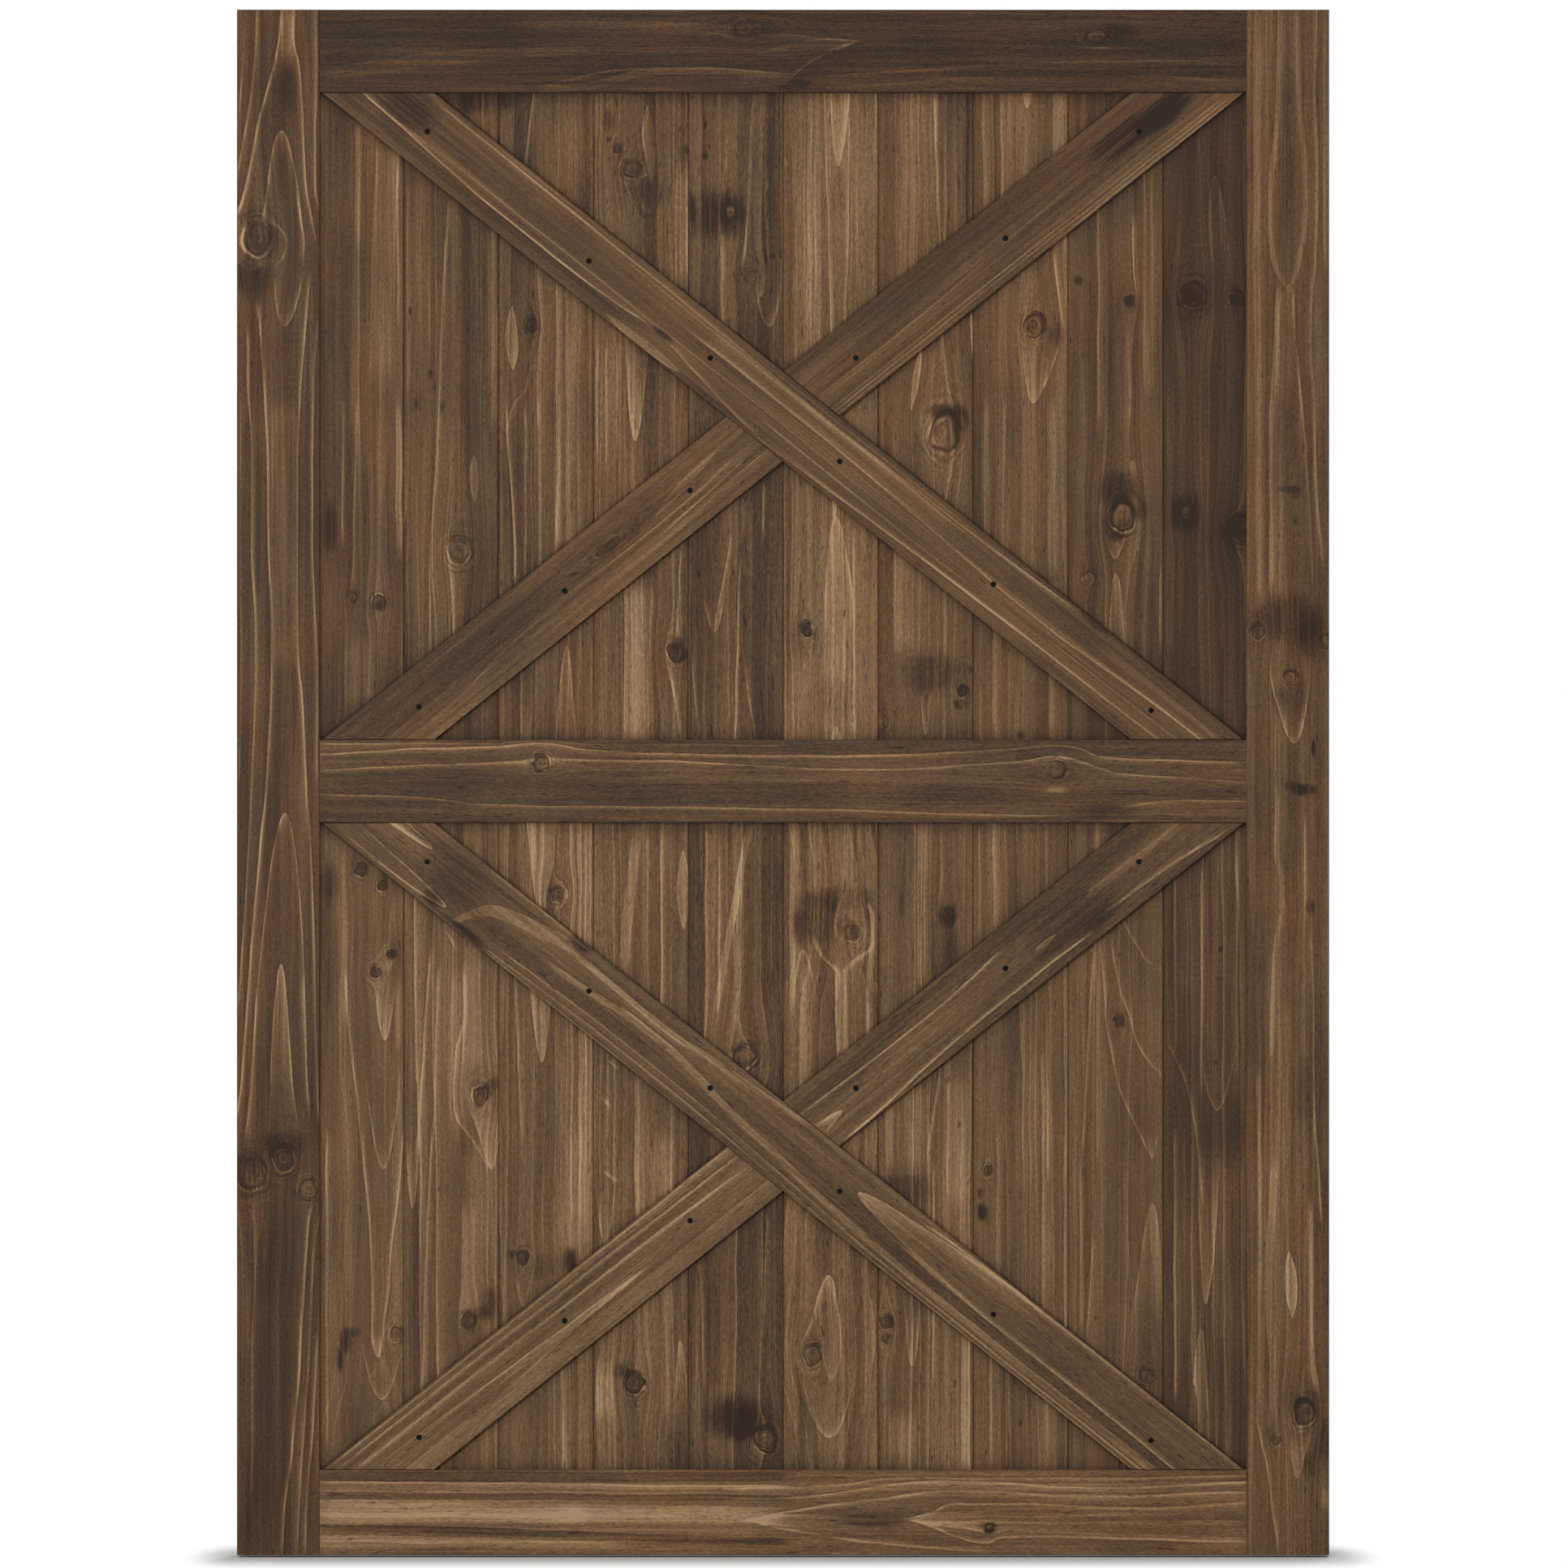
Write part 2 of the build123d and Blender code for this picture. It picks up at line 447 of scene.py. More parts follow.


# Painted shade in a panel, by metres from a brace's edge and from a rail
panelShade = {
    "brace": [(0.0, 1.3), (0.002, 1.0), (0.0045, 0.3), (0.015, 0.12), (0.06, 0.0)],
    "rail": [(0.0, 0.8), (0.006, 0.45), (0.018, 0.15), (0.04, 0.0)],
}


def shadeOf(place, middleZ, halfHeight):
    # painted shade beside the braces and under the rails of one panel, in metres from its middle
    across = place.node("SeparateXYZ", {}, {0: place})
    up = across.output(2) - middleZ
    run, rise = across * math.sin(slope), up * math.cos(slope)
    near = run.math("MINIMUM", abs(run + rise), abs(run - rise)) - braceWidth / 2
    return near.curve(panelShade["brace"]) + abs(up).line(-1.0, halfHeight).curve(panelShade["rail"])


# What a board has unless its own entry says otherwise
plainBoard = {
    "flat": 12.0,        # heart behind the face, millimetres
    "drift": 5.0,        # rings' straying, millimetres
    "ripple": 1.6,       # waviness of the grain, millimetres
    "fine": 0.08,        # clusters of fine lines
    "plate": 0.07,       # crisp paler plates
    "red": 1.0,          # share of redder stain
    "rimShade": 0.14,
    "worn": 0.0,         # wear with a painted highlight and painted shade on a brace's edges
    "panel": None,       # middle and half height of the panel round a plank
    "knots": (), "bands": (), "arches": (), "lenses": (), "clouds": (),
}


def boardMaterial(name, board, centre, turn, size):
    material, shader, place = newMaterial(name)
    width, thick, length = size
    sockets = {0: place, 1: centre, 2: (0.0, turn, 0.0), 3: (0.001, 0.001, 0.001)}
    # millimetres across, into and along the grain
    grain = place.node("Mapping", {"vector_type": "TEXTURE"}, sockets)
    u = grain.node("SeparateXYZ", {}, {0: grain})
    depth = u.output(1) + thick / 2
    v = u.output(2)
    seed = float(board["seed"])
    shift = tuple(seed * gap for gap in seedStep)

    def local(px, py):
        x, z = fromPhoto(px, py)
        dx = 1000 * (x - centre[0])
        dz = 1000 * (z - centre[2])
        return dx * math.cos(turn) - dz * math.sin(turn), dx * math.sin(turn) + dz * math.cos(turn)

    def halves(wide, high):
        return (high * mm, wide * mm) if turn else (wide * mm, high * mm)

    # the grain ripples, and parts round each knot
    parted = layer(grain, "ripple", shift).line(board["ripple"], u)
    swell = 0.0
    knots = []
    for number, (px, py, wide, high, core, halo, dark, side) in enumerate(board["knots"]):
        ku, kv = local(px, py)
        wide, high = halves(wide, high)
        side = math.radians(side) + turn
        across = u.line(1 / wide, -ku / wide)
        along = v.line(1 / high, -kv / high)
        acrossTwo, alongTwo = across * across, along * along
        near = alongTwo.line(knot["pushReach"][1], acrossTwo * knot["pushReach"][0]).bell()
        parted = (across * near).line(-knot["push"] * wide, parted)
        swell = (near * near).line(knot["swell"], swell)
        knotSeed = seed * knot["seedStep"][0] + number * knot["seedStep"][1]
        wires = (across, along, acrossTwo, alongTwo)
        knots.append((wires, (knotSeed, core, halo, dark, math.cos(side), math.sin(side))))

    half = length / 2
    share = v.line(1 / length, 0.5)
    heart = [(local(px, py), ring) for px, py, ring in board["heart"]]
    heartU = smoothLine(share, -half, half, [(at[1], at[0]) for at, ring in heart])
    heartRing = smoothLine(share, -half, half, [(at[1], ring) for at, ring in heart])
    late = ringsOf(grain, shift, parted, depth, heartU, heartRing, swell, board)

    # rings, clusters of fine lines, fibres, streaks, plates, clouds and pits, along the parted grain
    lie = triple(parted, depth, v)
    fibre = layer(lie, "fibre", shift)
    streak = layer(lie, "streak", shift)
    tone = late.line(board["contrast"], board["tone"])
    tone = (layer(lie, "fine", shift) * layer(lie, "zone", shift)).line(board["fine"], tone)
    tone = fibre.line(stain["fibre"], layer(lie, "hair", shift).line(stain["hair"], tone))
    tone = streak.line(stain["streak"], tone)
    tone = layer(lie, "plate", shift).line(board["plate"], tone)
    tone = layer(grain, "cloud", shift).line(stain["cloud"], tone)
    tone = layer(lie, "pit", shift).line(-stain["pit"], tone)

    # the listed figure, on and near the front face, and off the narrow edges
    plain = tone
    front = depth.step(*[portion * thick for portion in stain["frontShare"]])
    figure = 0.0
    for lift, wide, *points in board["bands"]:
        spots = sorted([local(px, py)[::-1] for px, py in points])
        figure = grouped("band", bandOf, (parted, v), wide * mm, spots).line(lift, figure)
    for lift, tip, foot, wide, fill in board["arches"]:
        made = grouped("arch", archOf, (parted, v), local(*tip), local(*foot), wide * mm, fill)
        figure = made.line(lift, figure)
    for lift, tip, foot, wide in board["lenses"]:
        made = grouped("lens", lensOf, (parted, v), local(*tip), local(*foot), wide * mm)
        figure = made.line(lift, figure)
    if isinstance(figure, Wire):
        tone = (figure * front).line(streak + stain["figure"], tone)
    patchy = streak.line(stain["patchy"], 1.0)
    ragged = streak + fibre
    for px, py, wide, high, shade in board["clouds"]:
        made = grouped("spot", spotOf, (parted, v, ragged), local(px, py), halves(wide, high))
        tone = made.line(patchy * -shade, tone)
    for wires, numbers in knots:
        tone = grouped("knot", knotOf, (tone, fibre, *wires), *numbers)
    inward = abs(u).step(*[width / 2 - inset for inset in stain["inward"]])
    tone = inward.line(tone - plain, plain)

    # darker stain along the board's long edges, wear with a painted highlight and painted shade on a brace's,
    # and painted shade in a panel
    edge = abs(u).step(width / 2 - stain["rimWidth"], width / 2 + 1.0)
    tone = edge.line(-board["rimShade"], tone)
    # painted shade along a brace's lower edge, and a painted highlight with some wear along its upper edge
    if board["worn"]:
        darkFrom, darkTo, darkShare = stain["wornDark"]
        paleFrom, paleTo = stain["edgeWearAndHighlight"]
        tone = u.step(darkFrom - width / 2, darkTo - width / 2).line(-darkShare * board["worn"], tone)
        tone = u.step(width / 2 - paleFrom, width / 2 - paleTo).line(board["worn"], tone)
    # painted shade beside the braces and under the rails, on the front face only
    if board["panel"]:
        tone = (shadeOf(place, *board["panel"]) * front).line(-stain["shade"], tone)

    tone = tone.line(stain["gain"], stain["middle"] * (1 - stain["gain"]))
    colour = tone.node("ValToRGB", {"stops": stain["stops"]}, {0: tone})
    hue = layer(grain, "hue", shift) * board["red"]
    settings = {"data_type": "RGBA", "blend_type": "MULTIPLY"}
    red = colour.node("Mix", settings, {0: hue, 6: colour, 7: stain["redder"]}, out=2)
    relief = {"Strength": stain["bumpStrength"], "Distance": stain["bumpDepth"],
              "Height": layer(grain, "relief", shift)}
    red.feed(shader, "Base Color")
    fibre.line(stain["roughFibre"], stain["roughness"]).feed(shader, "Roughness")
    grain.node("Bump", {}, relief).feed(shader, "Normal")
    shader.inputs["Specular IOR Level"].default_value = stain["specular"]
    return material


def dressBoard(node, lie, board):
    low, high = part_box(node)
    size = 1000 * (high - low)
    if lie == "upright":
        size = (size.x, size.y, size.z)
    elif lie == "level":
        size = (size.z, size.y, size.x)
    else:
        size = (1000 * braceWidth, size.y, math.hypot(size.x, size.z))
    material = boardMaterial(node, {**plainBoard, **board}, tuple((low + high) / 2), turns[lie], size)
    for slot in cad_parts[node].material_slots:
        slot.material = material


# The boards' figure, placed in pixels of the photo:
# heart (x, y, ring number there); knots (x, y, half width, half height, core tone, dark halo, darkness of its
# crescent, and the crescent's side in degrees); bands (lift, half width, points; a half width below 0 has its
# shoulder on the other side); arches (lift, tip, foot, half width at the foot, fill);
# lenses (lift, tip, tip, half width); clouds (x, y, half width, half height, shade)

# Frame
dressBoard("left_stile", "upright", {
    "seed": 1, "tone": 0.27, "contrast": 0.06, "spacing": 15.0, "flat": 10.0, "rimShade": 0.05,
    "ripple": 0.8, "fine": 0.04,
    "heart": [(270, 12, 0.0), (270, 1916, 1.0)],
    "knots": [(316, 293, 16, 21, 0.26, 0.05, 0.08, 60), (310, 1446, 17, 20, 0.26, 0.10, 0.14, 90),
        (349, 1428, 12, 15, 0.18, 0.10, 0.16, 90), (380, 1464, 11, 11, 0.38, 0.08, 0.10, 270)],
    "clouds": [(355, 110, 12, 30, 0.12), (312, 342, 18, 24, 0.16), (346, 1408, 30, 13, 0.12),
        (345, 1540, 50, 60, 0.08), (335, 1720, 20, 200, 0.10), (300, 1850, 30, 80, 0.10),
        (352, 900, 12, 60, 0.06)],
    "bands": [(0.16, 1.0, (301, 13), (299, 87), (295.5, 134)),
        (0.23, 1.2, (316, 13), (315.4, 47), (311.8, 97), (306.4, 140), (300, 179), (296.4, 215)),
        (0.28, 1.3, (345.7, 13), (344.6, 40), (340.4, 69), (327.9, 115), (317, 158), (310, 201),
         (305.7, 244), (301, 265)),
        (0.28, -1.3, (363, 13), (361.8, 40), (367.9, 79), (371.4, 122), (373.6, 179), (376, 229),
         (381.4, 262), (387, 290)),
        (0.21, -1.2, (390.4, 13), (389.6, 108), (388, 172), (388, 222), (391.4, 251)),
        (0.16, 7, (354, 8), (353, 45), (353, 74)), (0.10, 2, (317, 374), (317, 391)),
        (0.22, -1.8, (314.6, 274), (310.3, 284), (308, 297), (310.6, 310), (317, 320)),
        (0.20, 1.6, (324.8, 274), (338.3, 286), (344.4, 300), (340.2, 316), (331.1, 326)),
        (0.23, -1.3, (361.8, 236), (367.9, 272), (371.8, 297), (372, 319)),
        (0.23, 1.2, (305.7, 408), (306.4, 483), (310.4, 550), (310.7, 693), (315, 782), (313.9, 872),
         (310.7, 957), (305.7, 1046), (298.6, 1171), (293, 1243)),
        (0.28, 1.3, (318.9, 388), (322.5, 429), (326, 483), (328, 522), (330, 586), (331, 679),
         (334.6, 765), (333.6, 854), (329, 960), (321.8, 1028), (318, 1075), (312.9, 1128), (309.3, 1178),
         (303.9, 1250), (295, 1385)),
        (0.28, -1.3, (380.4, 344), (377, 387), (372.5, 447), (369.6, 486), (366.8, 550), (365.7, 622),
         (366, 729), (367, 800), (372, 854), (377.2, 960), (382.5, 1046), (386, 1135), (388, 1243),
         (392, 1378)),
        (0.21, -1.2, (390.4, 401), (386.4, 486), (384.6, 622), (387.5, 747), (390.7, 836), (391, 957)),
        (0.14, 1.0, (296, 486), (295.6, 700), (297, 800), (295, 957)),
        (0.12, 14, (348, 500), (348, 640), (350, 815)),
        (0.23, 1.3, (316.4, 1228), (312, 1300), (307, 1400)),
        (0.23, -1.3, (374, 1207), (376, 1278), (379, 1368)),
        (0.14, 1.2, (312.5, 1488), (314, 1560), (310.7, 1667), (310.7, 1756), (309, 1845)),
        (0.24, -1.4, (379.6, 1488), (375, 1578), (370.7, 1649), (367.9, 1703), (362.5, 1756), (357, 1810),
         (350, 1863), (347.5, 1913)),
        (0.18, -1.2, (390, 1488), (384, 1595), (380.4, 1685), (375, 1756), (369, 1845), (366, 1913)),
        (0.23, -1.2, (391, 1649), (385.7, 1756), (378.6, 1845), (375.7, 1913)),
        (0.11, 1.0, (300, 1488), (299, 1685))],
    "arches": [(0.24, (346, 161), (343, 305), 29, 0.10), (0.20, (349.3, 402), (352, 325), 23, 0.15),
        (0.24, (351.4, 1002), (344, 1330), 36, 0.05), (0.26, (346, 1188), (346, 1420), 17, 0.6)],
})
dressBoard("right_stile", "upright", {
    "seed": 2, "tone": 0.35, "contrast": 0.08, "spacing": 13.0, "flat": 12.0, "rimShade": 0.05,
    "fine": 0.09, "ripple": 0.8,
    "heart": [(1660, 12, 0.0), (1660, 1916, 1.0)],
    "knots": [(1550, 778, 8, 10, 0.30, 0.10, 0.12, 90), (1633, 790, 6, 7, 0.30, 0.10, 0.10, 90),
        (1589, 834, 7, 7, 0.40, 0.05, 0.12, 90), (1608, 1741, 12, 15, 0.24, 0.14, 0.30, 90),
        (1572, 1776, 6, 5, 0.30, 0.06, 0.14, 90)],
    "clouds": [(1590, 762, 40, 30, 0.22), (1616, 786, 20, 28, 0.16), (1588, 603, 15, 5, 0.16),
        (1597, 606, 5, 9, 0.14), (1597, 642, 3, 6, 0.18), (1578, 864, 10, 20, 0.12),
        (1602, 862, 9, 24, 0.10), (1618, 922, 3, 10, 0.25), (1606, 973, 16, 7, 0.30),
        (1590, 967, 10, 5, 0.16), (1614, 1118, 6, 9, 0.20), (1605, 1342, 12, 45, 0.08),
        (1630, 1773, 12, 24, 0.22), (1618, 1802, 14, 20, 0.12), (1586, 200, 9, 100, 0.06)],
    "bands": [(0.12, 3, (1577, 13), (1574, 143), (1567, 215), (1565, 268), (1568, 311), (1578, 343),
         (1587, 354)),
        (0.12, -3, (1599, 13), (1601, 126), (1607, 197), (1609, 251), (1602, 315), (1595, 343),
         (1588, 354)), (0.05, 9, (1585, 362), (1583, 420), (1583, 480)),
        (0.16, 3, (1576, 356), (1573.4, 394), (1569.9, 470), (1567, 530), (1567, 586), (1566, 707),
         (1563.4, 725)),
        (0.16, -1.4, (1593, 356), (1595.6, 411), (1601, 470), (1607, 530), (1610, 580), (1614, 640),
         (1617, 707)), (0.10, 4, (1548, 13), (1548, 340), (1550, 486), (1550, 735)),
        (0.16, -1.6, (1621.6, 13), (1620, 108), (1623.4, 215), (1620, 322), (1614.5, 411), (1618, 479),
         (1621, 586), (1630, 693)), (0.11, 1.6, (1632, 13), (1632, 330)),
        (0.10, 3, (1574.5, 975), (1572.7, 1046), (1580, 1096), (1578, 1125), (1571, 1178), (1568.4, 1243),
         (1565.6, 1300)), (0.18, 1.0, (1607.7, 1010), (1608, 1128)),
        (0.21, -1.0, (1615.6, 1153), (1618.4, 1242), (1619, 1350), (1624.5, 1435), (1628, 1500)),
        (0.04, 9, (1580, 1243), (1584, 1350), (1577, 1435)), (0.08, 4, (1632, 1150), (1633, 1435)),
        (0.15, 4.5, (1570, 1436), (1567, 1499), (1563.4, 1542), (1564, 1613), (1569, 1685), (1570.6, 1746)),
        (0.20, -3, (1615, 1483), (1615, 1635), (1617, 1712)),
        (0.10, 3, (1550, 1320), (1552, 1450), (1552, 1740)),
        (0.18, 1.3, (1549, 1749), (1560, 1792), (1568.8, 1863), (1574, 1899)),
        (0.12, 4, (1631, 1835), (1631, 1858))],
    "arches": [(0.22, (1595, 916), (1587, 780), 30, 0.10), (0.14, (1599, 1821), (1602, 1762), 11, 0.7)],
    "lenses": [(0.20, (1588.4, 1541), (1593, 1624), 8)],
})
dressBoard("top_rail", "level", {
    "seed": 3, "tone": 0.15, "contrast": 0.08, "spacing": 12.0, "flat": 30.0, "rimShade": 0.05,
    "fine": 0.03,
    "heart": [(394, 66, 0.0), (1536, 70, 0.9)],
    "knots": [(915, 35, 11, 9, 0.18, 0.06, 0.06, 270), (1352, 44, 12, 6, 0.15, 0.10, 0.06, 90),
        (967, 112, 6, 5, 0.08, 0.12, 0.1, 90)],
    "clouds": [(940, 36, 22, 8, 0.10), (985, 102, 14, 8, 0.14), (1378, 40, 26, 9, 0.12),
        (520, 40, 120, 12, 0.04), (560, 98, 90, 7, 0.05)],
    "bands": [(0.07, 8, (400, 91), (480, 80), (555, 71), (715, 58)),
        (0.07, 5, (634, 31), (760, 30), (897, 38)), (0.09, 4, (667, 110), (731, 104), (838, 87), (970, 93)),
        (0.10, 1.2, (667, 105), (834, 84), (970, 90)),
        (0.06, 1.4, (1019, 94), (1145, 86), (1422, 75), (1531, 81)),
        (0.05, 1.4, (1023, 107), (1367, 94), (1531, 101)), (0.10, 1.4, (945, 40), (1000, 45), (1054, 50)),
        (0.12, -1.4, (968, 106), (985, 86), (1010, 70), (1054, 51)), (0.10, 1.4, (1338, 56), (1368, 57))],
    "lenses": [(0.07, (930, 66), (1058, 50), 9)],
})
dressBoard("mid_rail", "level", {
    "seed": 4, "red": 0.6, "tone": 0.31, "contrast": 0.07, "spacing": 11.0, "flat": 30.0, "rimShade": 0.05,
    "fine": 0.05,
    "heart": [(394, 966, 0.0), (1536, 968, 0.7)],
    "knots": [(667, 939, 10, 10, 0.34, 0.05, 0.10, 200), (1302, 947, 9, 10, 0.42, 0.06, 0.18, 300)],
    "clouds": [(1363, 999, 40, 9, 0.14)],
    "bands": [(0.18, 0.9, (395, 916), (970, 918)),
        (0.22, 1.0, (395, 929), (671, 921), (715, 924), (970, 931), (1071, 931), (1304, 923), (1352, 933),
         (1531, 940)),
        (0.20, 0.9, (395, 949), (593, 940), (701, 937), (970, 945), (1052, 949), (1289, 939), (1378, 953),
         (1531, 964)), (0.18, 0.9, (395, 979), (519, 983), (627, 992), (970, 997), (1300, 1006)),
        (0.17, 0.9, (1385, 994), (1478, 986), (1531, 987)), (0.21, 5, (1290, 968), (1314, 968))],
})
dressBoard("bottom_rail", "level", {
    "seed": 5, "tone": 0.46, "contrast": 0.15, "spacing": 14.0, "flat": 8.0, "rimShade": 0.05, "drift": 2.0,
    "heart": [(395, 1862, 2.75), (700, 1866, 2.4), (921, 1872, 2.0), (1034, 1873, 1.4), (1120, 1872, 1.0),
        (1219, 1875, 0.75), (1380, 1877, 0.4), (1531, 1876, 0.0)],
    "knots": [(1219, 1882, 4, 4, 0.3, 0.05, 0.08, 90)],
    "clouds": [(1076, 1874, 46, 12, 0.20), (1219, 1883, 7, 4, 0.45)],
    "bands": [(-0.12, 6, (395, 1819), (970, 1820)), (0.21, 1.3, (395, 1826), (700, 1829), (970, 1832)),
        (-0.15, 3.5, (395, 1842), (600, 1843), (970, 1846)),
        (0.16, 14, (395, 1862), (600, 1862), (720, 1864)),
        (0.10, 11, (700, 1864), (830, 1866), (960, 1868)),
        (-0.18, 4, (395, 1882), (600, 1886), (760, 1893), (970, 1900)),
        (0.10, 4, (395, 1895), (600, 1899), (760, 1904)),
        (0.20, 1.4, (922, 1874), (960, 1864), (1010, 1856), (1089, 1847), (1202, 1838), (1340, 1844),
         (1535, 1838)), (0.18, -1.4, (922, 1874), (988, 1888), (1108, 1904), (1215, 1912)),
        (0.16, 1.2, (900, 1835), (1026, 1831), (1108, 1822), (1340, 1822), (1535, 1818)),
        (0.16, 1.2, (900, 1847), (994, 1844), (1120, 1828), (1183, 1826), (1340, 1833), (1535, 1826)),
        (0.20, 1.4, (1120, 1872), (1152, 1863), (1189, 1853), (1252, 1853), (1372, 1858), (1535, 1852)),
        (0.20, -1.4, (1120, 1872), (1152, 1882), (1183, 1894), (1215, 1900), (1233, 1894), (1277, 1894),
         (1535, 1900))],
    "arches": [(0.12, (921, 1873), (1040, 1873), 12, 0.4), (0.12, (1119, 1872), (1250, 1874), 14, 0.5)],
})
print("frame dressed")

# Planks, with what those of a panel have in common
planks = {
    "upper": {"contrast": 0.27, "spacing": 16.0, "flat": 6.0},
    "lower": {"red": 0.6, "contrast": 0.29, "spacing": 15.0, "flat": 6.0},
}


def dressPlank(level, number, board):
    low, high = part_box(f"{level}_long_brace")
    panel = ((low.z + high.z) / 2, (high.z - low.z) / 2)
    dressBoard(f"{level}_plank_{number:02d}", "upright", {**planks[level], "panel": panel, **board})


dressPlank("upper", 1, {
    "seed": 11, "tone": 0.33, "fine": 0.10,
    "heart": [(380, 115, 0.0), (384, 912, 0.4)],
    "knots": [(434, 736, 5, 6, 0.30, 0.08, 0.16, 0), (466, 741, 8, 9, 0.24, 0.10, 0.16, 300)],
    "clouds": [(406, 650, 11, 30, 0.18), (450, 660, 30, 60, 0.05)],
    "bands": [(0.11, 14, (477, 178), (471, 345), (468, 460)), (0.18, 1.6, (490, 205), (490, 395)),
        (0.12, 3, (440, 155), (441, 300)), (0.16, 1.3, (422, 500), (422, 665)),
        (0.16, 1.3, (439, 500), (434, 725)), (0.14, 3, (491, 500), (491, 680)),
        (0.10, 16, (440, 790), (440, 870))],
})
dressPlank("upper", 2, {
    "seed": 12, "tone": 0.33, "fine": 0.10,
    "heart": [(640, 115, 0.0), (636, 912, 0.5)],
    "knots": [(565, 679, 13, 15, 0.36, 0.05, 0.02, 90)],
    "clouds": [(578, 400, 22, 260, 0.06), (585, 122, 34, 16, 0.26), (505, 383, 3, 6, 0.25),
        (530, 460, 3, 6, 0.22), (514, 497, 3, 6, 0.2), (544, 502, 3, 6, 0.2)],
    "bands": [(0.20, 1.3, (552, 250), (544, 400), (537, 600), (529, 800)),
        (0.12, 4, (608, 150), (608, 520)), (0.14, 1.3, (560, 700), (560, 790)),
        (0.09, 12, (512, 230), (512, 480))],
    "lenses": [(0.12, (583, 560), (582, 618), 6)],
})
dressPlank("upper", 3, {
    "seed": 13, "tone": 0.32,
    "heart": [(600, 115, 0.0), (604, 912, 0.5)],
    "knots": [(654, 400, 6, 8, 0.08, 0.14, 0.1, 0)],
    "clouds": [(700, 200, 26, 60, -0.06), (622, 120, 12, 16, 0.22), (630, 640, 20, 90, 0.05)],
    "bands": [(0.23, 1.3, (657, 115), (647, 200)),
        (0.12, 1.0, (652, 455), (648, 476), (632, 500), (624, 530)), (0.16, 1.3, (663, 335), (663, 520)),
        (0.17, 17, (702, 345), (702, 675)), (0.21, 1.3, (687, 350), (686, 670)),
        (0.23, 1.3, (623, 500), (630, 600), (635, 717)), (0.14, 1.3, (647, 500), (647, 700)),
        (0.14, 1.3, (664, 500), (664, 700)), (0.14, 1.3, (642, 800), (642, 912)),
        (0.14, 1.3, (660, 800), (660, 912))],
    "arches": [(0.16, (697, 795), (697, 940), 14, 0.7)],
    "lenses": [(0.17, (630, 376), (632, 456), 9)],
})
dressPlank("upper", 4, {
    "seed": 14, "tone": 0.34, "fine": 0.08,
    "heart": [(865, 115, 0.0), (861, 912, 0.5)],
    "knots": [(778, 208, 10, 10, 0.24, 0.10, 0.12, 45), (832, 803, 10, 12, 0.20, 0.10, 0.22, 20),
        (761, 184, 5, 5, 0.16, 0.08, 0.12, 90)],
    "clouds": [(749, 147, 8, 14, 0.16), (752, 171, 4, 4, 0.22), (845, 184, 4, 5, 0.2),
        (800, 236, 22, 16, 0.14)],
    "bands": [(0.18, 8, (840, 210), (840, 345)), (0.14, 1.3, (736, 420), (736, 560)),
        (0.14, 1.3, (747, 425), (747, 570)), (0.14, 1.3, (760, 430), (760, 560)),
        (0.17, 18, (787, 725), (787, 912)), (0.21, 1.3, (840, 665), (832, 785)),
        (0.16, 1.3, (827, 830), (840, 912)), (0.18, 1.3, (768, 212), (778, 219), (790, 214))],
    "arches": [(0.20, (783, 543), (785, 400), 15, 0.9), (-0.06, (797, 270), (797, 205), 27, 0.2),
        (0.10, (797, 262), (797, 205), 20, 0.08)],
    "lenses": [(0.16, (797, 128), (796, 226), 8)],
})
dressPlank("upper", 5, {
    "seed": 15, "red": 0.4, "tone": 0.30, "spacing": 17.0,
    "heart": [(840, 115, 0.0), (836, 912, 0.5)],
    "knots": [(900, 260, 6, 8, 0.34, 0.26, 0.05, 90), (926, 340, 7, 7, 0.26, 0.10, 0.12, 180)],
    "clouds": [(869, 192, 4, 5, 0.22), (951, 315, 4, 5, 0.22), (853, 255, 6, 16, 0.12),
        (955, 500, 9, 400, 0.04), (900, 258, 14, 30, 0.15), (880, 264, 36, 30, 0.20)],
    "bands": [(0.17, 2, (929, 115), (923, 220), (918, 320)), (0.16, 1.3, (890, 300), (890, 395)),
        (0.17, 1.3, (915, 612), (915, 660)), (0.17, 1.3, (940, 596), (940, 660)),
        (0.21, 1.3, (913, 690), (905, 912)), (0.16, 1.0, (915, 800), (930, 912)),
        (0.16, 1.0, (852, 815), (862, 912)), (0.16, 1.3, (880, 776), (893, 710), (902, 660)),
        (0.14, 1.3, (945, 222), (946, 234))],
    "arches": [(0.18, (948, 402), (944, 330), 21, 0.12), (0.18, (880, 778), (880, 730), 14, 0.4)],
})
dressPlank("upper", 6, {
    "seed": 16, "tone": 0.56, "contrast": 0.29, "spacing": 13.0, "fine": 0.14,
    "heart": [(1030, 115, 0.0), (1030, 912, 1.5)],
    "knots": [(994, 776, 7, 9, 0.14, 0.16, 0.14, 120)],
    "clouds": [(973, 500, 7, 420, 0.12), (1033, 236, 9, 26, 0.16), (990, 790, 16, 20, 0.10),
        (1030, 860, 26, 26, 0.08)],
    "bands": [(0.16, 1.3, (1052, 660), (1052, 912))],
    "arches": [(0.18, (1033, 204), (1036, 80), 15, 0.8), (0.18, (1031, 636), (1036, 800), 22, 0.35),
        (0.14, (1031, 895), (1031, 935), 9, 0.6)],
})
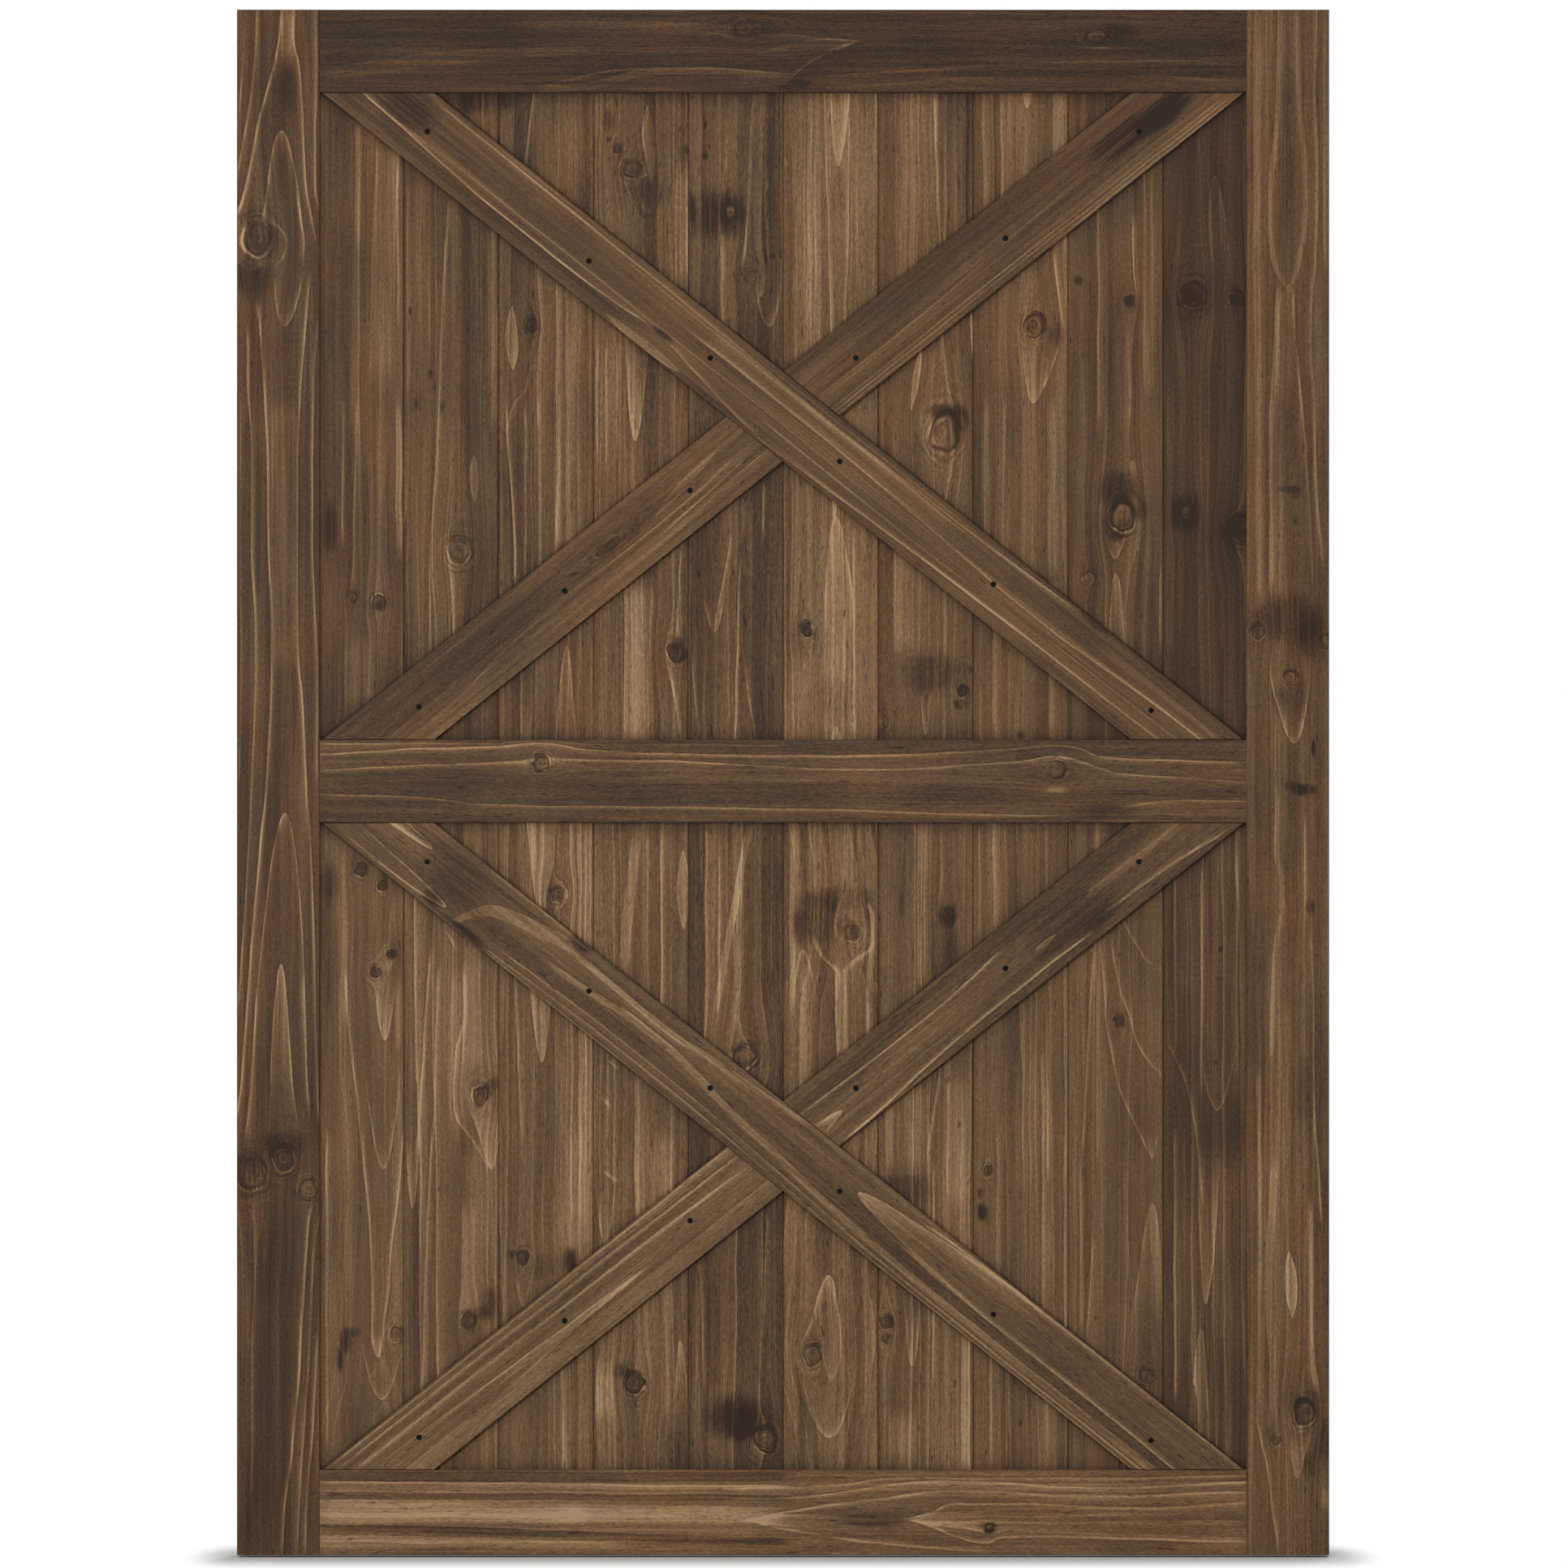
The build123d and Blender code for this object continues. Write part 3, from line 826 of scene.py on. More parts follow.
dressPlank("upper", 7, {
    "seed": 17, "tone": 0.37, "contrast": 0.18, "spacing": 15.0, "fine": 0.05, "plate": 0.04,
    "heart": [(1062, 115, 0.0), (1066, 912, 0.5)],
    "knots": [(1162, 533, 16, 23, 0.42, 0.10, 0.22, 55), (1186, 852, 6, 7, 0.10, 0.14, 0.14, 60),
        (1085, 890, 8, 8, 0.46, 0.05, 0.1, 0)],
    "clouds": [(1176, 514, 10, 18, 0.18), (1166, 506, 14, 8, 0.14), (1150, 830, 32, 24, 0.20),
        (1183, 868, 6, 6, 0.22)],
    "bands": [(0.06, 26, (1129, 115), (1129, 350)), (0.16, 1.3, (1151, 115), (1160, 350)),
        (-0.14, 1.6, (1192, 115), (1192, 380)), (0.21, 1.6, (1197, 385), (1197, 640)),
        (0.12, 22, (1123, 680), (1123, 800))],
    "arches": [(0.16, (1141, 906), (1141, 845), 7, 0.6)],
    "lenses": [(0.20, (1138, 428), (1130, 506), 5)],
})
dressPlank("upper", 8, {
    "seed": 18, "tone": 0.39, "contrast": 0.20, "spacing": 15.0, "fine": 0.05,
    "heart": [(1340, 115, 0.0), (1336, 912, 0.5)],
    "knots": [(1274, 401, 12, 13, 0.38, 0.12, 0.20, 30)],
    "clouds": [(1258, 906, 5, 5, 0.24), (1298, 412, 12, 16, 0.16)],
    "bands": [(0.13, 4, (1215, 115), (1215, 250)), (0.14, 1.3, (1235, 115), (1235, 300)),
        (0.12, 8, (1306, 115), (1306, 300)), (-0.11, 1.3, (1226, 115), (1226, 300)),
        (0.18, 1.3, (1298, 310), (1305, 400)), (0.14, 3, (1215, 500), (1215, 700)),
        (0.12, 3, (1238, 500), (1238, 700)), (0.15, 5, (1295, 500), (1295, 700)),
        (0.12, 3, (1226, 770), (1226, 900)), (0.12, 3, (1295, 800), (1295, 900))],
    "arches": [(0.18, (1274, 496), (1286, 410), 21, 0.3), (0.12, (1266, 132), (1266, 90), 9, 0.6)],
})
dressPlank("upper", 9, {
    "seed": 19, "tone": 0.34,
    "heart": [(1300, 115, 0.0), (1304, 912, 0.5)],
    "knots": [(1391, 370, 6, 7, 0.12, 0.12, 0.12, 0), (1383, 638, 13, 18, 0.36, 0.16, 0.34, 80),
        (1342, 712, 7, 7, 0.40, 0.06, 0.12, 90)],
    "clouds": [(1329, 345, 5, 6, 0.24), (1380, 600, 20, 20, 0.20), (1380, 662, 5, 6, 0.2),
        (1398, 628, 8, 16, 0.2)],
    "bands": [(0.16, 3, (1397, 270), (1399, 360)), (0.14, 1.3, (1354, 230), (1354, 520)),
        (0.10, 6, (1415, 120), (1415, 480)), (0.16, 1.3, (1430, 700), (1430, 800))],
    "arches": [(0.14, (1377, 688), (1377, 650), 9, 0.4), (0.18, (1376, 706), (1376, 810), 11, 0.5)],
})
dressPlank("upper", 10, {
    "seed": 20, "tone": 0.21, "contrast": 0.13, "spacing": 17.0, "fine": 0.04,
    "heart": [(1555, 115, 0.0), (1550, 912, 0.5)],
    "knots": [(1469, 362, 14, 15, 0.0, 0.14, 0.12, 0), (1524, 368, 9, 9, 0.02, 0.10, 0.12, 0),
        (1462, 632, 6, 8, 0.20, 0.24, 0.06, 90), (1530, 652, 13, 14, 0.10, 0.14, 0.08, 90)],
    "clouds": [(1462, 632, 18, 24, 0.14), (1532, 652, 18, 24, 0.10), (1500, 645, 60, 60, 0.04)],
    "bands": [(0.08, 4, (1442, 480), (1442, 800))],
    "arches": [(0.11, (1497, 216), (1503, 350), 16, 1.2)],
})
dressPlank("lower", 1, {
    "seed": 31, "tone": 0.41, "contrast": 0.12,
    "heart": [(470, 1015, 1.6), (470, 1285, 1.0), (470, 1440, 1.9), (468, 1560, 1.5), (468, 1672, 1.0),
        (472, 1727, 0.0), (470, 1811, -1.0)],
    "knots": [(444, 1072, 7, 8, 0.20, 0.14, 0.18, 60), (470, 1091, 6, 7, 0.20, 0.12, 0.16, 60),
        (481, 1175, 6, 6, 0.10, 0.10, 0.12, 0), (462, 1198, 7, 7, 0.28, 0.08, 0.14, 45),
        (488, 1644, 8, 9, 0.40, 0.05, 0.12, 0)],
    "clouds": [(404, 1165, 9, 90, 0.12), (405, 1088, 12, 26, 0.22), (426, 1652, 7, 16, 0.30),
        (419, 1676, 5, 14, 0.25), (436, 1642, 9, 6, 0.16)],
    "bands": [(0.09, 3, (424, 1060), (424, 1260)), (0.16, 3, (491, 1215), (490, 1290)),
        (0.08, 7, (472, 1186), (470, 1196)),
        (0.20, 1.3, (424, 1200), (432, 1290), (441, 1370), (449, 1450), (457, 1540), (459, 1655)),
        (0.20, -1.3, (497, 1396), (489, 1481), (479, 1570), (477, 1655)),
        (0.10, 7, (488, 1105), (486, 1150)), (0.16, 1.3, (402, 1400), (402, 1780))],
    "arches": [(0.19, (474, 1282), (475, 1195), 15, 0.5), (0.22, (467, 1673), (467, 1640), 10, 0.9),
        (0.18, (470, 1725), (470, 1650), 26, 0.08), (0.20, (472, 1441), (471, 1300), 24, 0.08)],
})
dressPlank("lower", 2, {
    "seed": 32, "tone": 0.42,
    "heart": [(640, 1015, 0.0), (630, 1811, 0.8)],
    "knots": [(592, 1350, 10, 11, 0.26, 0.10, 0.2, 40), (577, 1628, 8, 10, 0.24, 0.10, 0.2, 40)],
    "clouds": [(604, 1335, 9, 8, 0.2), (515, 1590, 10, 110, 0.12), (590, 1618, 12, 9, 0.26),
        (602, 1606, 14, 20, 0.22), (578, 1402, 11, 28, 0.14)],
    "bands": [(0.21, 1.3, (530, 1180), (520, 1310), (513, 1420)), (0.14, 1.3, (540, 1200), (533, 1400)),
        (0.08, 10, (566, 1200), (562, 1300), (570, 1400)), (0.06, 20, (590, 1190), (590, 1310)),
        (0.16, 1.3, (570, 1195), (571, 1250), (561, 1310), (562, 1365), (580, 1400), (600, 1436)),
        (0.18, 1.3, (531, 1400), (525, 1550), (520, 1710)), (0.14, 8, (577, 1490), (577, 1620)),
        (0.17, 1.3, (550, 1150), (560, 1168))],
    "arches": [(0.17, (606, 1441), (598, 1350), 17, 0.5), (0.18, (508, 1489), (508, 1380), 9, 0.5)],
})
dressPlank("lower", 3, {
    "seed": 33, "tone": 0.43, "fine": 0.09,
    "heart": [(590, 1015, 0.0), (596, 1811, 0.8)],
    "knots": [(686, 1103, 8, 8, 0.34, 0.08, 0.18, 90), (645, 1551, 7, 8, 0.14, 0.12, 0.14, 100)],
    "clouds": [(668, 1560, 30, 16, 0.08), (636, 1546, 10, 6, 0.22), (700, 1553, 9, 15, 0.34)],
    "bands": [(0.12, 1.3, (704, 1020), (704, 1500)), (0.11, 1.3, (712, 1020), (714, 1500)),
        (0.12, 1.3, (721, 1020), (721, 1520)), (0.16, 1.3, (632, 1150), (643, 1400)),
        (0.08, 12, (711, 1400), (711, 1540))],
    "arches": [(0.17, (670, 1130), (664, 900), 26, 3.0), (0.19, (667, 1309), (664, 1080), 20, 3.0),
        (0.16, (645, 1612), (645, 1565), 9, 0.4)],
})
dressPlank("lower", 4, {
    "seed": 34, "tone": 0.45, "fine": 0.09,
    "heart": [(870, 1015, 0.0), (866, 1811, 0.8)],
    "knots": [(783, 1705, 11, 12, 0.24, 0.12, 0.24, 130)],
    "clouds": [(770, 1690, 10, 9, 0.2), (822, 1780, 26, 40, 0.12)],
    "bands": [(0.18, 6, (785, 1030), (775, 1110), (768, 1190)), (0.16, 1.3, (798, 1030), (798, 1260)),
        (0.16, 1.3, (815, 1030), (815, 1280)), (0.16, 3, (785, 1325), (785, 1500)),
        (0.20, 2.8, (741, 1352), (750, 1363)), (0.20, 2.8, (747, 1445), (757, 1455)),
        (0.16, 2.4, (751, 1307), (760, 1317)), (0.10, 12, (818, 1400), (818, 1500)),
        (0.14, 13, (747, 1685), (747, 1745))],
    "arches": [(0.18, (746, 1537), (746, 1460), 12, 0.5), (0.16, (838, 1652), (838, 1740), 9, 0.6)],
    "lenses": [(0.20, (842, 1046), (842, 1146), 8)],
})
dressPlank("lower", 5, {
    "seed": 35, "tone": 0.31,
    "heart": [(830, 1015, 0.0), (834, 1811, 0.8)],
    "knots": [(918, 1303, 14, 12, 0.42, 0.06, 0.20, 80), (942, 1775, 13, 15, 0.36, 0.10, 0.24, 45)],
    "clouds": [(908, 1748, 36, 26, 0.36), (920, 1764, 14, 14, 0.16), (878, 1630, 8, 80, 0.10),
        (945, 1150, 16, 130, 0.08)],
    "bands": [(0.23, 1.6, (870, 1015), (870, 1290)), (0.16, 4, (922, 1020), (905, 1115), (883, 1240)),
        (0.14, 1.0, (886, 1050), (886, 1250)), (0.16, 1.3, (862, 1550), (868, 1710)),
        (0.16, 1.3, (945, 1500), (940, 1640))],
})
dressPlank("lower", 6, {
    "seed": 36, "tone": 0.43, "spacing": 13.0, "flat": 10.0,
    "heart": [(1030, 1015, 2.6), (1040, 1150, 2.2), (1038, 1190, 1.9), (1038, 1300, 1.0), (1030, 1420, 1.4),
        (1018, 1570, 1.0), (1018, 1640, 0.6), (1020, 1700, 1.0), (1022, 1770, 2.0), (1022, 1811, 2.4)],
    "knots": [(1051, 1150, 9, 10, 0.34, 0.10, 0.1, 120), (1001, 1671, 10, 12, 0.42, 0.08, 0.22, 90)],
    "clouds": [(1034, 1106, 36, 14, 0.16), (985, 1145, 9, 22, 0.14), (1068, 1120, 8, 22, 0.12),
        (1010, 1132, 36, 32, 0.20)],
    "bands": [(0.14, 3, (976, 1020), (976, 1240)), (0.12, 4, (990, 1200), (990, 1330)),
        (0.12, 3, (1070, 1160), (1070, 1330)),
        (0.16, 3, (1064, 1112), (1072, 1130), (1072, 1160), (1058, 1178), (1042, 1196)),
        (0.24, 7, (1036, 1196), (1037, 1250), (1038, 1306)),
        (0.18, 2.4, (1004, 1158), (1012, 1176), (1028, 1192), (1036, 1202)),
        (0.18, 1.3, (1040, 1106), (1036, 1120), (1034, 1140), (1040, 1158))],
    "arches": [(0.18, (990, 1170), (992, 1240), 16, 0.08), (0.18, (1022, 1772), (1018, 1700), 33, 0.08),
        (0.20, (1021, 1572), (1011, 1690), 25, 0.12)],
})
dressPlank("lower", 7, {
    "seed": 37, "tone": 0.43, "fine": 0.08,
    "heart": [(1062, 1015, 0.0), (1066, 1811, 0.8)],
    "clouds": [(1168, 1130, 9, 14, 0.24), (1174, 1172, 9, 30, 0.14), (1115, 1466, 36, 18, 0.16)],
    "knots": [(1168, 1124, 5, 6, 0.14, 0.10, 0.14, 0), (1092, 1630, 8, 8, 0.22, 0.10, 0.2, 30),
        (1091, 1650, 6, 6, 0.20, 0.08, 0.16, 0)],
    "bands": [(0.16, 6, (1136, 1015), (1136, 1210)), (0.14, 1.3, (1160, 1020), (1160, 1100)),
        (0.17, 1.3, (1158, 1320), (1143, 1420)), (0.14, 26, (1117, 1340), (1117, 1440)),
        (0.14, 1.3, (1150, 1440), (1150, 1700)), (0.10, 13, (1180, 1330), (1180, 1480)),
        (0.13, 17, (1112, 1745), (1112, 1800)), (0.15, 5, (1190, 1650), (1190, 1810))],
    "arches": [(0.20, (1124, 1684), (1122, 1600), 12, 0.4)],
})
dressPlank("lower", 8, {
    "seed": 38, "tone": 0.42, "contrast": 0.20, "spacing": 14.0, "fine": 0.06,
    "heart": [(1345, 1015, 0.0), (1341, 1811, 0.8)],
    "knots": [(1217, 1442, 5, 7, 0.24, 0.08, 0.14, 0)],
    "clouds": [(1211, 1494, 7, 10, 0.40), (1210, 1470, 5, 7, 0.16)],
    "bands": [(0.14, 1.3, (1207, 1020), (1207, 1160)), (0.14, 1.3, (1225, 1020), (1225, 1140)),
        (0.14, 1.3, (1291, 1250), (1291, 1450)), (0.16, 1.3, (1228, 1400), (1228, 1560)),
        (0.12, 1.6, (1285, 1300), (1285, 1650)), (0.14, 3, (1314, 1100), (1314, 1680)),
        (0.14, 1.3, (1240, 1650), (1240, 1800)), (0.14, 1.3, (1290, 1720), (1290, 1800)),
        (0.14, 1.3, (1220, 1640), (1220, 1800))],
})
dressPlank("lower", 9, {
    "seed": 39, "tone": 0.39, "contrast": 0.22,
    "heart": [(1296, 1015, 0.0), (1300, 1811, 0.8)],
    "knots": [(1380, 1259, 6, 7, 0.20, 0.08, 0.14, 90), (1412, 1696, 8, 8, 0.32, 0.06, 0.16, 90)],
    "bands": [(0.16, 1.0, (1347, 1180), (1333, 1420)), (0.14, 1.0, (1352, 1200), (1352, 1420)),
        (0.16, 1.2, (1382, 1132), (1401, 1165), (1415, 1186), (1429, 1191)),
        (0.16, 1.2, (1370, 1165), (1379.5, 1217), (1396, 1274), (1415, 1307), (1431, 1323)),
        (0.15, 1.2, (1356, 1170), (1368, 1274), (1377, 1330), (1391, 1368), (1408, 1405), (1419, 1427)),
        (0.14, 1.3, (1332, 1430), (1332, 1640)), (0.16, 1.0, (1347, 1530), (1339, 1650))],
    "arches": [(0.13, (1421, 1483), (1412, 1680), 22, 0.4), (0.14, (1420, 1427), (1420, 1390), 7, 0.5)],
})
dressPlank("lower", 10, {
    "seed": 40, "tone": 0.27, "contrast": 0.27, "spacing": 16.0,
    "heart": [(1556, 1015, 0.0), (1552, 1811, 0.8)],
    "clouds": [(1504, 1170, 3, 4, 0.2), (1499, 1309, 3, 4, 0.2), (1510, 1720, 24, 70, 0.06),
        (1508, 1392, 30, 44, 0.12)],
    "bands": [(0.16, 1.3, (1448, 1080), (1448, 1290)), (0.11, 1.3, (1463, 1090), (1463, 1330)),
        (0.17, 1.3, (1481, 1065), (1481, 1340)), (0.14, -1.6, (1525, 1060), (1525, 1320)),
        (0.16, 1.2, (1441, 1290), (1462, 1335), (1471, 1377), (1478, 1434), (1483, 1481)),
        (0.23, 1.6, (1448, 1400), (1448, 1720))],
    "arches": [(0.18, (1500, 1369), (1502, 1290), 22, 0.06), (0.18, (1486, 1607), (1492, 1380), 15, 0.5),
        (0.16, (1481, 1638), (1477, 1780), 12, 0.5)],
})
print("planks dressed")

# Braces, their figure placed by the x of a brace's centre line and the offset up across it
brace = {
    "crossX": 965.0,                                # where the braces of an X cross, in pixels
    "crossY": {"upper": 513.5, "lower": 1413.5},
    "heart": ((480, -140, 0.0), (1450, -140, 0.6)),
    "common": {"contrast": 0.10, "spacing": 9.0, "flat": 6.0, "rimShade": 0.0, "worn": 0.10, "ripple": 0.8,
               "fine": 0.05},
}


def dressBrace(node, lie, board):
    way = 1 if lie == "falling" else -1
    level = node.split("_")[0]

    def at(x, offset):
        y = brace["crossY"][level] + way * (x - brace["crossX"]) * math.tan(slope)
        return x + way * offset * math.sin(slope), y - offset * math.cos(slope)

    placed = {**brace["common"], **board}
    placed["heart"] = [(*at(x, offset), ring) for x, offset, ring in brace["heart"]]
    placed["bands"] = [(lift, half, *[at(*spot) for spot in spots]) for lift, half, *spots in board["bands"]]
    for kind in ("arches", "lenses"):
        given = board.get(kind, ())
        placed[kind] = [(lift, at(*tip), at(*foot), *rest) for lift, tip, foot, *rest in given]
    for kind in ("clouds", "knots"):
        placed[kind] = [(*at(x, offset), *rest) for x, offset, *rest in board.get(kind, ())]
    dressBoard(node, lie, placed)


dressBrace("upper_long_brace", "falling", {
    "seed": 51, "red": 0.7, "tone": 0.32,
    "bands": [(0.28, -1.0, (455, -11), (500, -14), (560, -19), (640, -22), (700, -22), (760, -20),
         (800, -15)), (-0.05, 9, (440, -33), (600, -33), (780, -33)),
        (0.11, -1.3, (540, -9), (700, -9), (880, -9), (970, -8), (1100, -9), (1240, -11)),
        (0.05, 10, (640, 20), (760, 20), (880, 20)),
        (0.09, 9.5, (870, 21), (960, 21), (1060, 21), (1160, 20), (1230, 20)),
        (0.18, -1.2, (850, 10), (960, 11), (1040, 10), (1120, 7), (1220, 2), (1280, 0), (1330, 3),
         (1400, 8), (1480, 11)),
        (0.18, 1.2, (520, 36), (700, 35), (900, 33), (970, 31), (1160, 33), (1240, 36), (1300, 40)),
        (0.09, 8, (1345, 21), (1420, 20), (1485, 17)), (0.14, 1.2, (960, -19), (1100, -20), (1200, -18)),
        (0.21, -1.2, (840, -18), (900, -30), (960, -39)),
        (0.21, -1.3, (960, -40), (1040, -36), (1120, -31), (1200, -28), (1300, -25), (1440, -23)),
        (0.14, 1.0, (1300, -10), (1460, -8)), (0.16, 1.3, (1318, -40), (1345, -40), (1372, -43))],
    "lenses": [(0.16, (768, -37), (862, -37), 6)],
    "clouds": [(495, 9, 40, 26, 0.26), (440, 0, 40, 30, 0.10), (825, -13, 16, 4, 0.25),
        (900, -34, 60, 10, 0.08), (1325, 41, 18, 5, 0.16)],
})
dressBrace("upper_half_brace_left", "rising", {
    "seed": 53, "tone": 0.30,
    "bands": [(0.11, 1.3, (560, -20), (640, -8), (720, -4), (800, -7), (900, -2)),
        (0.16, 1.2, (560, -26), (700, -25), (860, -22), (925, -20)),
        (0.18, -1.2, (640, -20), (760, -22), (840, -17), (915, -11)),
        (0.16, 1.2, (480, -36), (700, -33), (925, -38)), (0.14, 1.0, (520, -41), (925, -42)),
        (0.04, 8, (440, 25), (700, 25))],
    "lenses": [(0.12, (806, 4), (895, 19), 5)],
    "knots": [(755, 10, 19, 6, 0.14, 0.08, 0.04, 90)],
})
dressBrace("upper_half_brace_right", "rising", {
    "seed": 52, "tone": 0.33,
    "bands": [(0.11, 1.3, (1010, -8), (1100, -9), (1160, -7), (1240, -3), (1340, 2)),
        (0.16, 0.9, (1010, -29), (1250, -29), (1480, -31)),
        (0.16, 0.9, (1010, -34), (1250, -34), (1490, -36)),
        (0.14, 0.9, (1010, -39), (1250, -39), (1490, -41)), (0.11, 1.3, (1000, 36), (1150, 38), (1300, 34)),
        (0.20, 0.8, (1350, 3), (1400, 6), (1440, 9)), (0.16, 0.8, (1360, 12), (1410, 14), (1450, 10))],
    "clouds": [(1432, 1, 40, 15, 0.62), (1388, 9, 44, 17, 0.44), (1365, 28, 40, 8, 0.24)],
})
dressBrace("lower_long_brace", "falling", {
    "seed": 54, "red": 0.1, "tone": 0.36,
    "bands": [(0.16, 1.0, (450, -36), (540, -36)),
        (0.16, 8, (578, -44), (588, -20), (600, 0), (620, 12), (660, 24), (692, 33)),
        (0.18, 1.2, (580, 41), (640, 42), (690, 41)),
        (0.18, 3.5, (700, 26), (750, 24), (790, 23), (860, 30), (920, 35), (965, 39)),
        (0.18, 4, (680, -5), (740, 2), (790, 8), (850, 4), (900, -6), (970, -13), (1040, -21), (1120, -25),
         (1200, -27), (1440, -26)), (0.06, 7, (760, 15), (800, 15), (840, 15)),
        (0.16, 1.0, (640, -28), (700, -24), (800, -22), (900, -24), (970, -27), (1040, -31), (1120, -35),
         (1250, -36), (1430, -35)),
        (0.16, 1.0, (620, -38), (800, -32), (900, -33), (970, -36), (1040, -39)),
        (0.14, 1.0, (640, -42), (970, -42)), (0.16, 1.0, (1100, -41), (1420, -41)),
        (0.23, 1.6, (1120, 35), (1180, 39), (1300, 41), (1500, 43)),
        (0.25, -1.6, (1120, -4), (1200, -8), (1300, -8), (1460, -9))],
    "arches": [(0.20, (522, 17), (330, 17), 16, 3.0), (0.28, (567, -28), (430, -28), 14, 0.08),
        (0.20, (1049, 14), (1280, 16), 29, 0.45)],
    "clouds": [(596, -40, 34, 8, 0.34), (690, 38, 16, 6, 0.42), (552, -30, 14, 8, 0.26),
        (560, 12, 46, 26, 0.12)],
})
dressBrace("lower_half_brace_left", "rising", {
    "seed": 56, "red": 0.1, "tone": 0.365,
    "bands": [(0.16, 1.3, (440, 41), (925, 41)), (0.16, 1.6, (440, 33), (700, 31), (925, 26)),
        (0.14, 1.8, (450, 19), (600, 18), (700, 16), (850, 12), (925, 7)),
        (0.18, 1.2, (480, 6), (580, 0), (660, -4), (740, -8), (782, -10)),
        (0.18, -1.2, (520, -26), (600, -23), (680, -16), (782, -11)),
        (0.08, 5, (620, -10), (700, -10), (770, -10)),
        (0.23, -1.3, (500, -39), (700, -38), (850, -35), (925, -32))],
})
dressBrace("lower_half_brace_right", "rising", {
    "seed": 55, "red": 0.1, "tone": 0.34,
    "bands": [(0.14, 1.3, (1000, 40), (1260, 41)), (0.16, 1.3, (1000, 31), (1150, 30), (1225, 32)),
        (0.23, 1.3, (1000, 19), (1060, 16), (1130, 14), (1200, 17), (1240, 22), (1272, 33)),
        (0.25, -1.3, (1020, -41), (1080, -37), (1130, -32), (1200, -29), (1270, -29), (1320, -31)),
        (0.14, 1.3, (1330, 25), (1440, 26)), (0.14, 1.3, (1330, 38), (1430, 38)),
        (0.14, 4, (1350, 8), (1400, 7), (1450, 6)), (0.21, -1.6, (1350, -22), (1420, -26), (1480, -36))],
    "arches": [(0.28, (1031, -10), (1000, -11), 8, 0.9)],
    "lenses": [(0.22, (1272, -5), (1299, -5), 3)],
    "clouds": [(1345, -24, 26, 9, 0.18), (1316, -6, 60, 26, 0.14)],
})
print("braces dressed")

# Screws: one dished, cross-slotted head with its cone and shank, turned about each hole's axis; millimetres
screws = {
    # shares of half a brace's run from its middle
    "longStations": (-0.88, -0.48, -0.18, 0.14, 0.52, 0.91),
    "halfStations": (-0.90, -0.54, -0.23, 0.18, 0.55, 0.88),
    "headRadius": 4.1,
    "headRows": (0.35, 0.8, 1.3, 1.8, 2.3, 2.8, 3.4),
    "bevel": 0.15,        # of the head's rim
    "shankRadius": 2.0,
    "tipShare": 0.7,      # of the shank's radius
    "tipLength": 0.6,
    "sides": 32,
    "sunk": 0.35,         # head below the brace's face
    "length": 8.2,
    "slotWidth": 0.75,    # half width of a slot
    "slotReach": 2.7,
    "slotDepth": 1.1,
    "slotRim": 0.5,       # rim that no slot cuts
    "black": paint("0b0a09"),
    "rubbed": paint("1c1a18"),
    "rubbedScale": 900.0,
    "rubbedEdge": (0.1, 0.7),
    "roughness": 0.7,
    "roughSpread": 0.12,
    "specular": 0.1,
}


def screwMesh(centres, faceY):
    # rows run out from the head's middle, over its rim and down the cone and shank; columns turn round it
    head, shank, sunk = screws["headRadius"], screws["shankRadius"], screws["sunk"]
    bevel, length, slotDepth = screws["bevel"], screws["length"], screws["slotDepth"]
    headRows = screws["headRows"]
    radius = np.array([*headRows, head - bevel, head, shank, shank, shank * screws["tipShare"]])
    under = [bevel, bevel + head - shank, length - screws["tipLength"], length]
    depth = np.array([0.0] * (len(headRows) + 1) + under) + sunk
    angle = np.linspace(0, 2 * np.pi, screws["sides"], endpoint=False)
    r, a = np.meshgrid(radius, angle, indexing="ij")
    x, z = r * np.cos(a), r * np.sin(a)
    slot = np.minimum(np.abs(x), np.abs(z)) < screws["slotWidth"]
    fall = np.clip(1 - r / screws["slotReach"], 0, 1) ** 0.5
    y = depth[:, None] + np.where(slot, slotDepth * fall, 0) * (r < head - screws["slotRim"])
    body = np.stack([x, y, z], -1).reshape(-1, 3)
    poles = np.array([[0, sunk + slotDepth, 0], [0, sunk + length, 0]])
    one = np.concatenate([body, poles]) / 1000
    rows, columns = r.shape
    i, j = np.meshgrid(np.arange(rows - 1), np.arange(columns), indexing="ij")
    after = (j + 1) % columns
    corners = [i * columns + j, (i + 1) * columns + j, (i + 1) * columns + after, i * columns + after]
    quads = np.stack(corners, -1)
    turn, last = np.arange(columns), (rows - 1) * columns
    nextTurn = (turn + 1) % columns
    top = np.stack([np.full(columns, rows * columns), turn, nextTurn], -1)
    tail = np.stack([np.full(columns, rows * columns + 1), last + nextTurn, last + turn], -1)
    offset = np.stack([centres[:, 0], np.full(len(centres), faceY), centres[:, 1]], -1)
    points = (one[None] + offset[:, None]).reshape(-1, 3)
    start = np.arange(len(centres))[:, None, None] * len(one)
    faces = [*(quads.reshape(1, -1, 4) + start).reshape(-1, 4).tolist(),
             *(np.concatenate([top, tail])[None] + start).reshape(-1, 3).tolist()]
    mesh = bpy.data.meshes.new("brace_screws")
    mesh.from_pydata(points, [], faces)
    return mesh


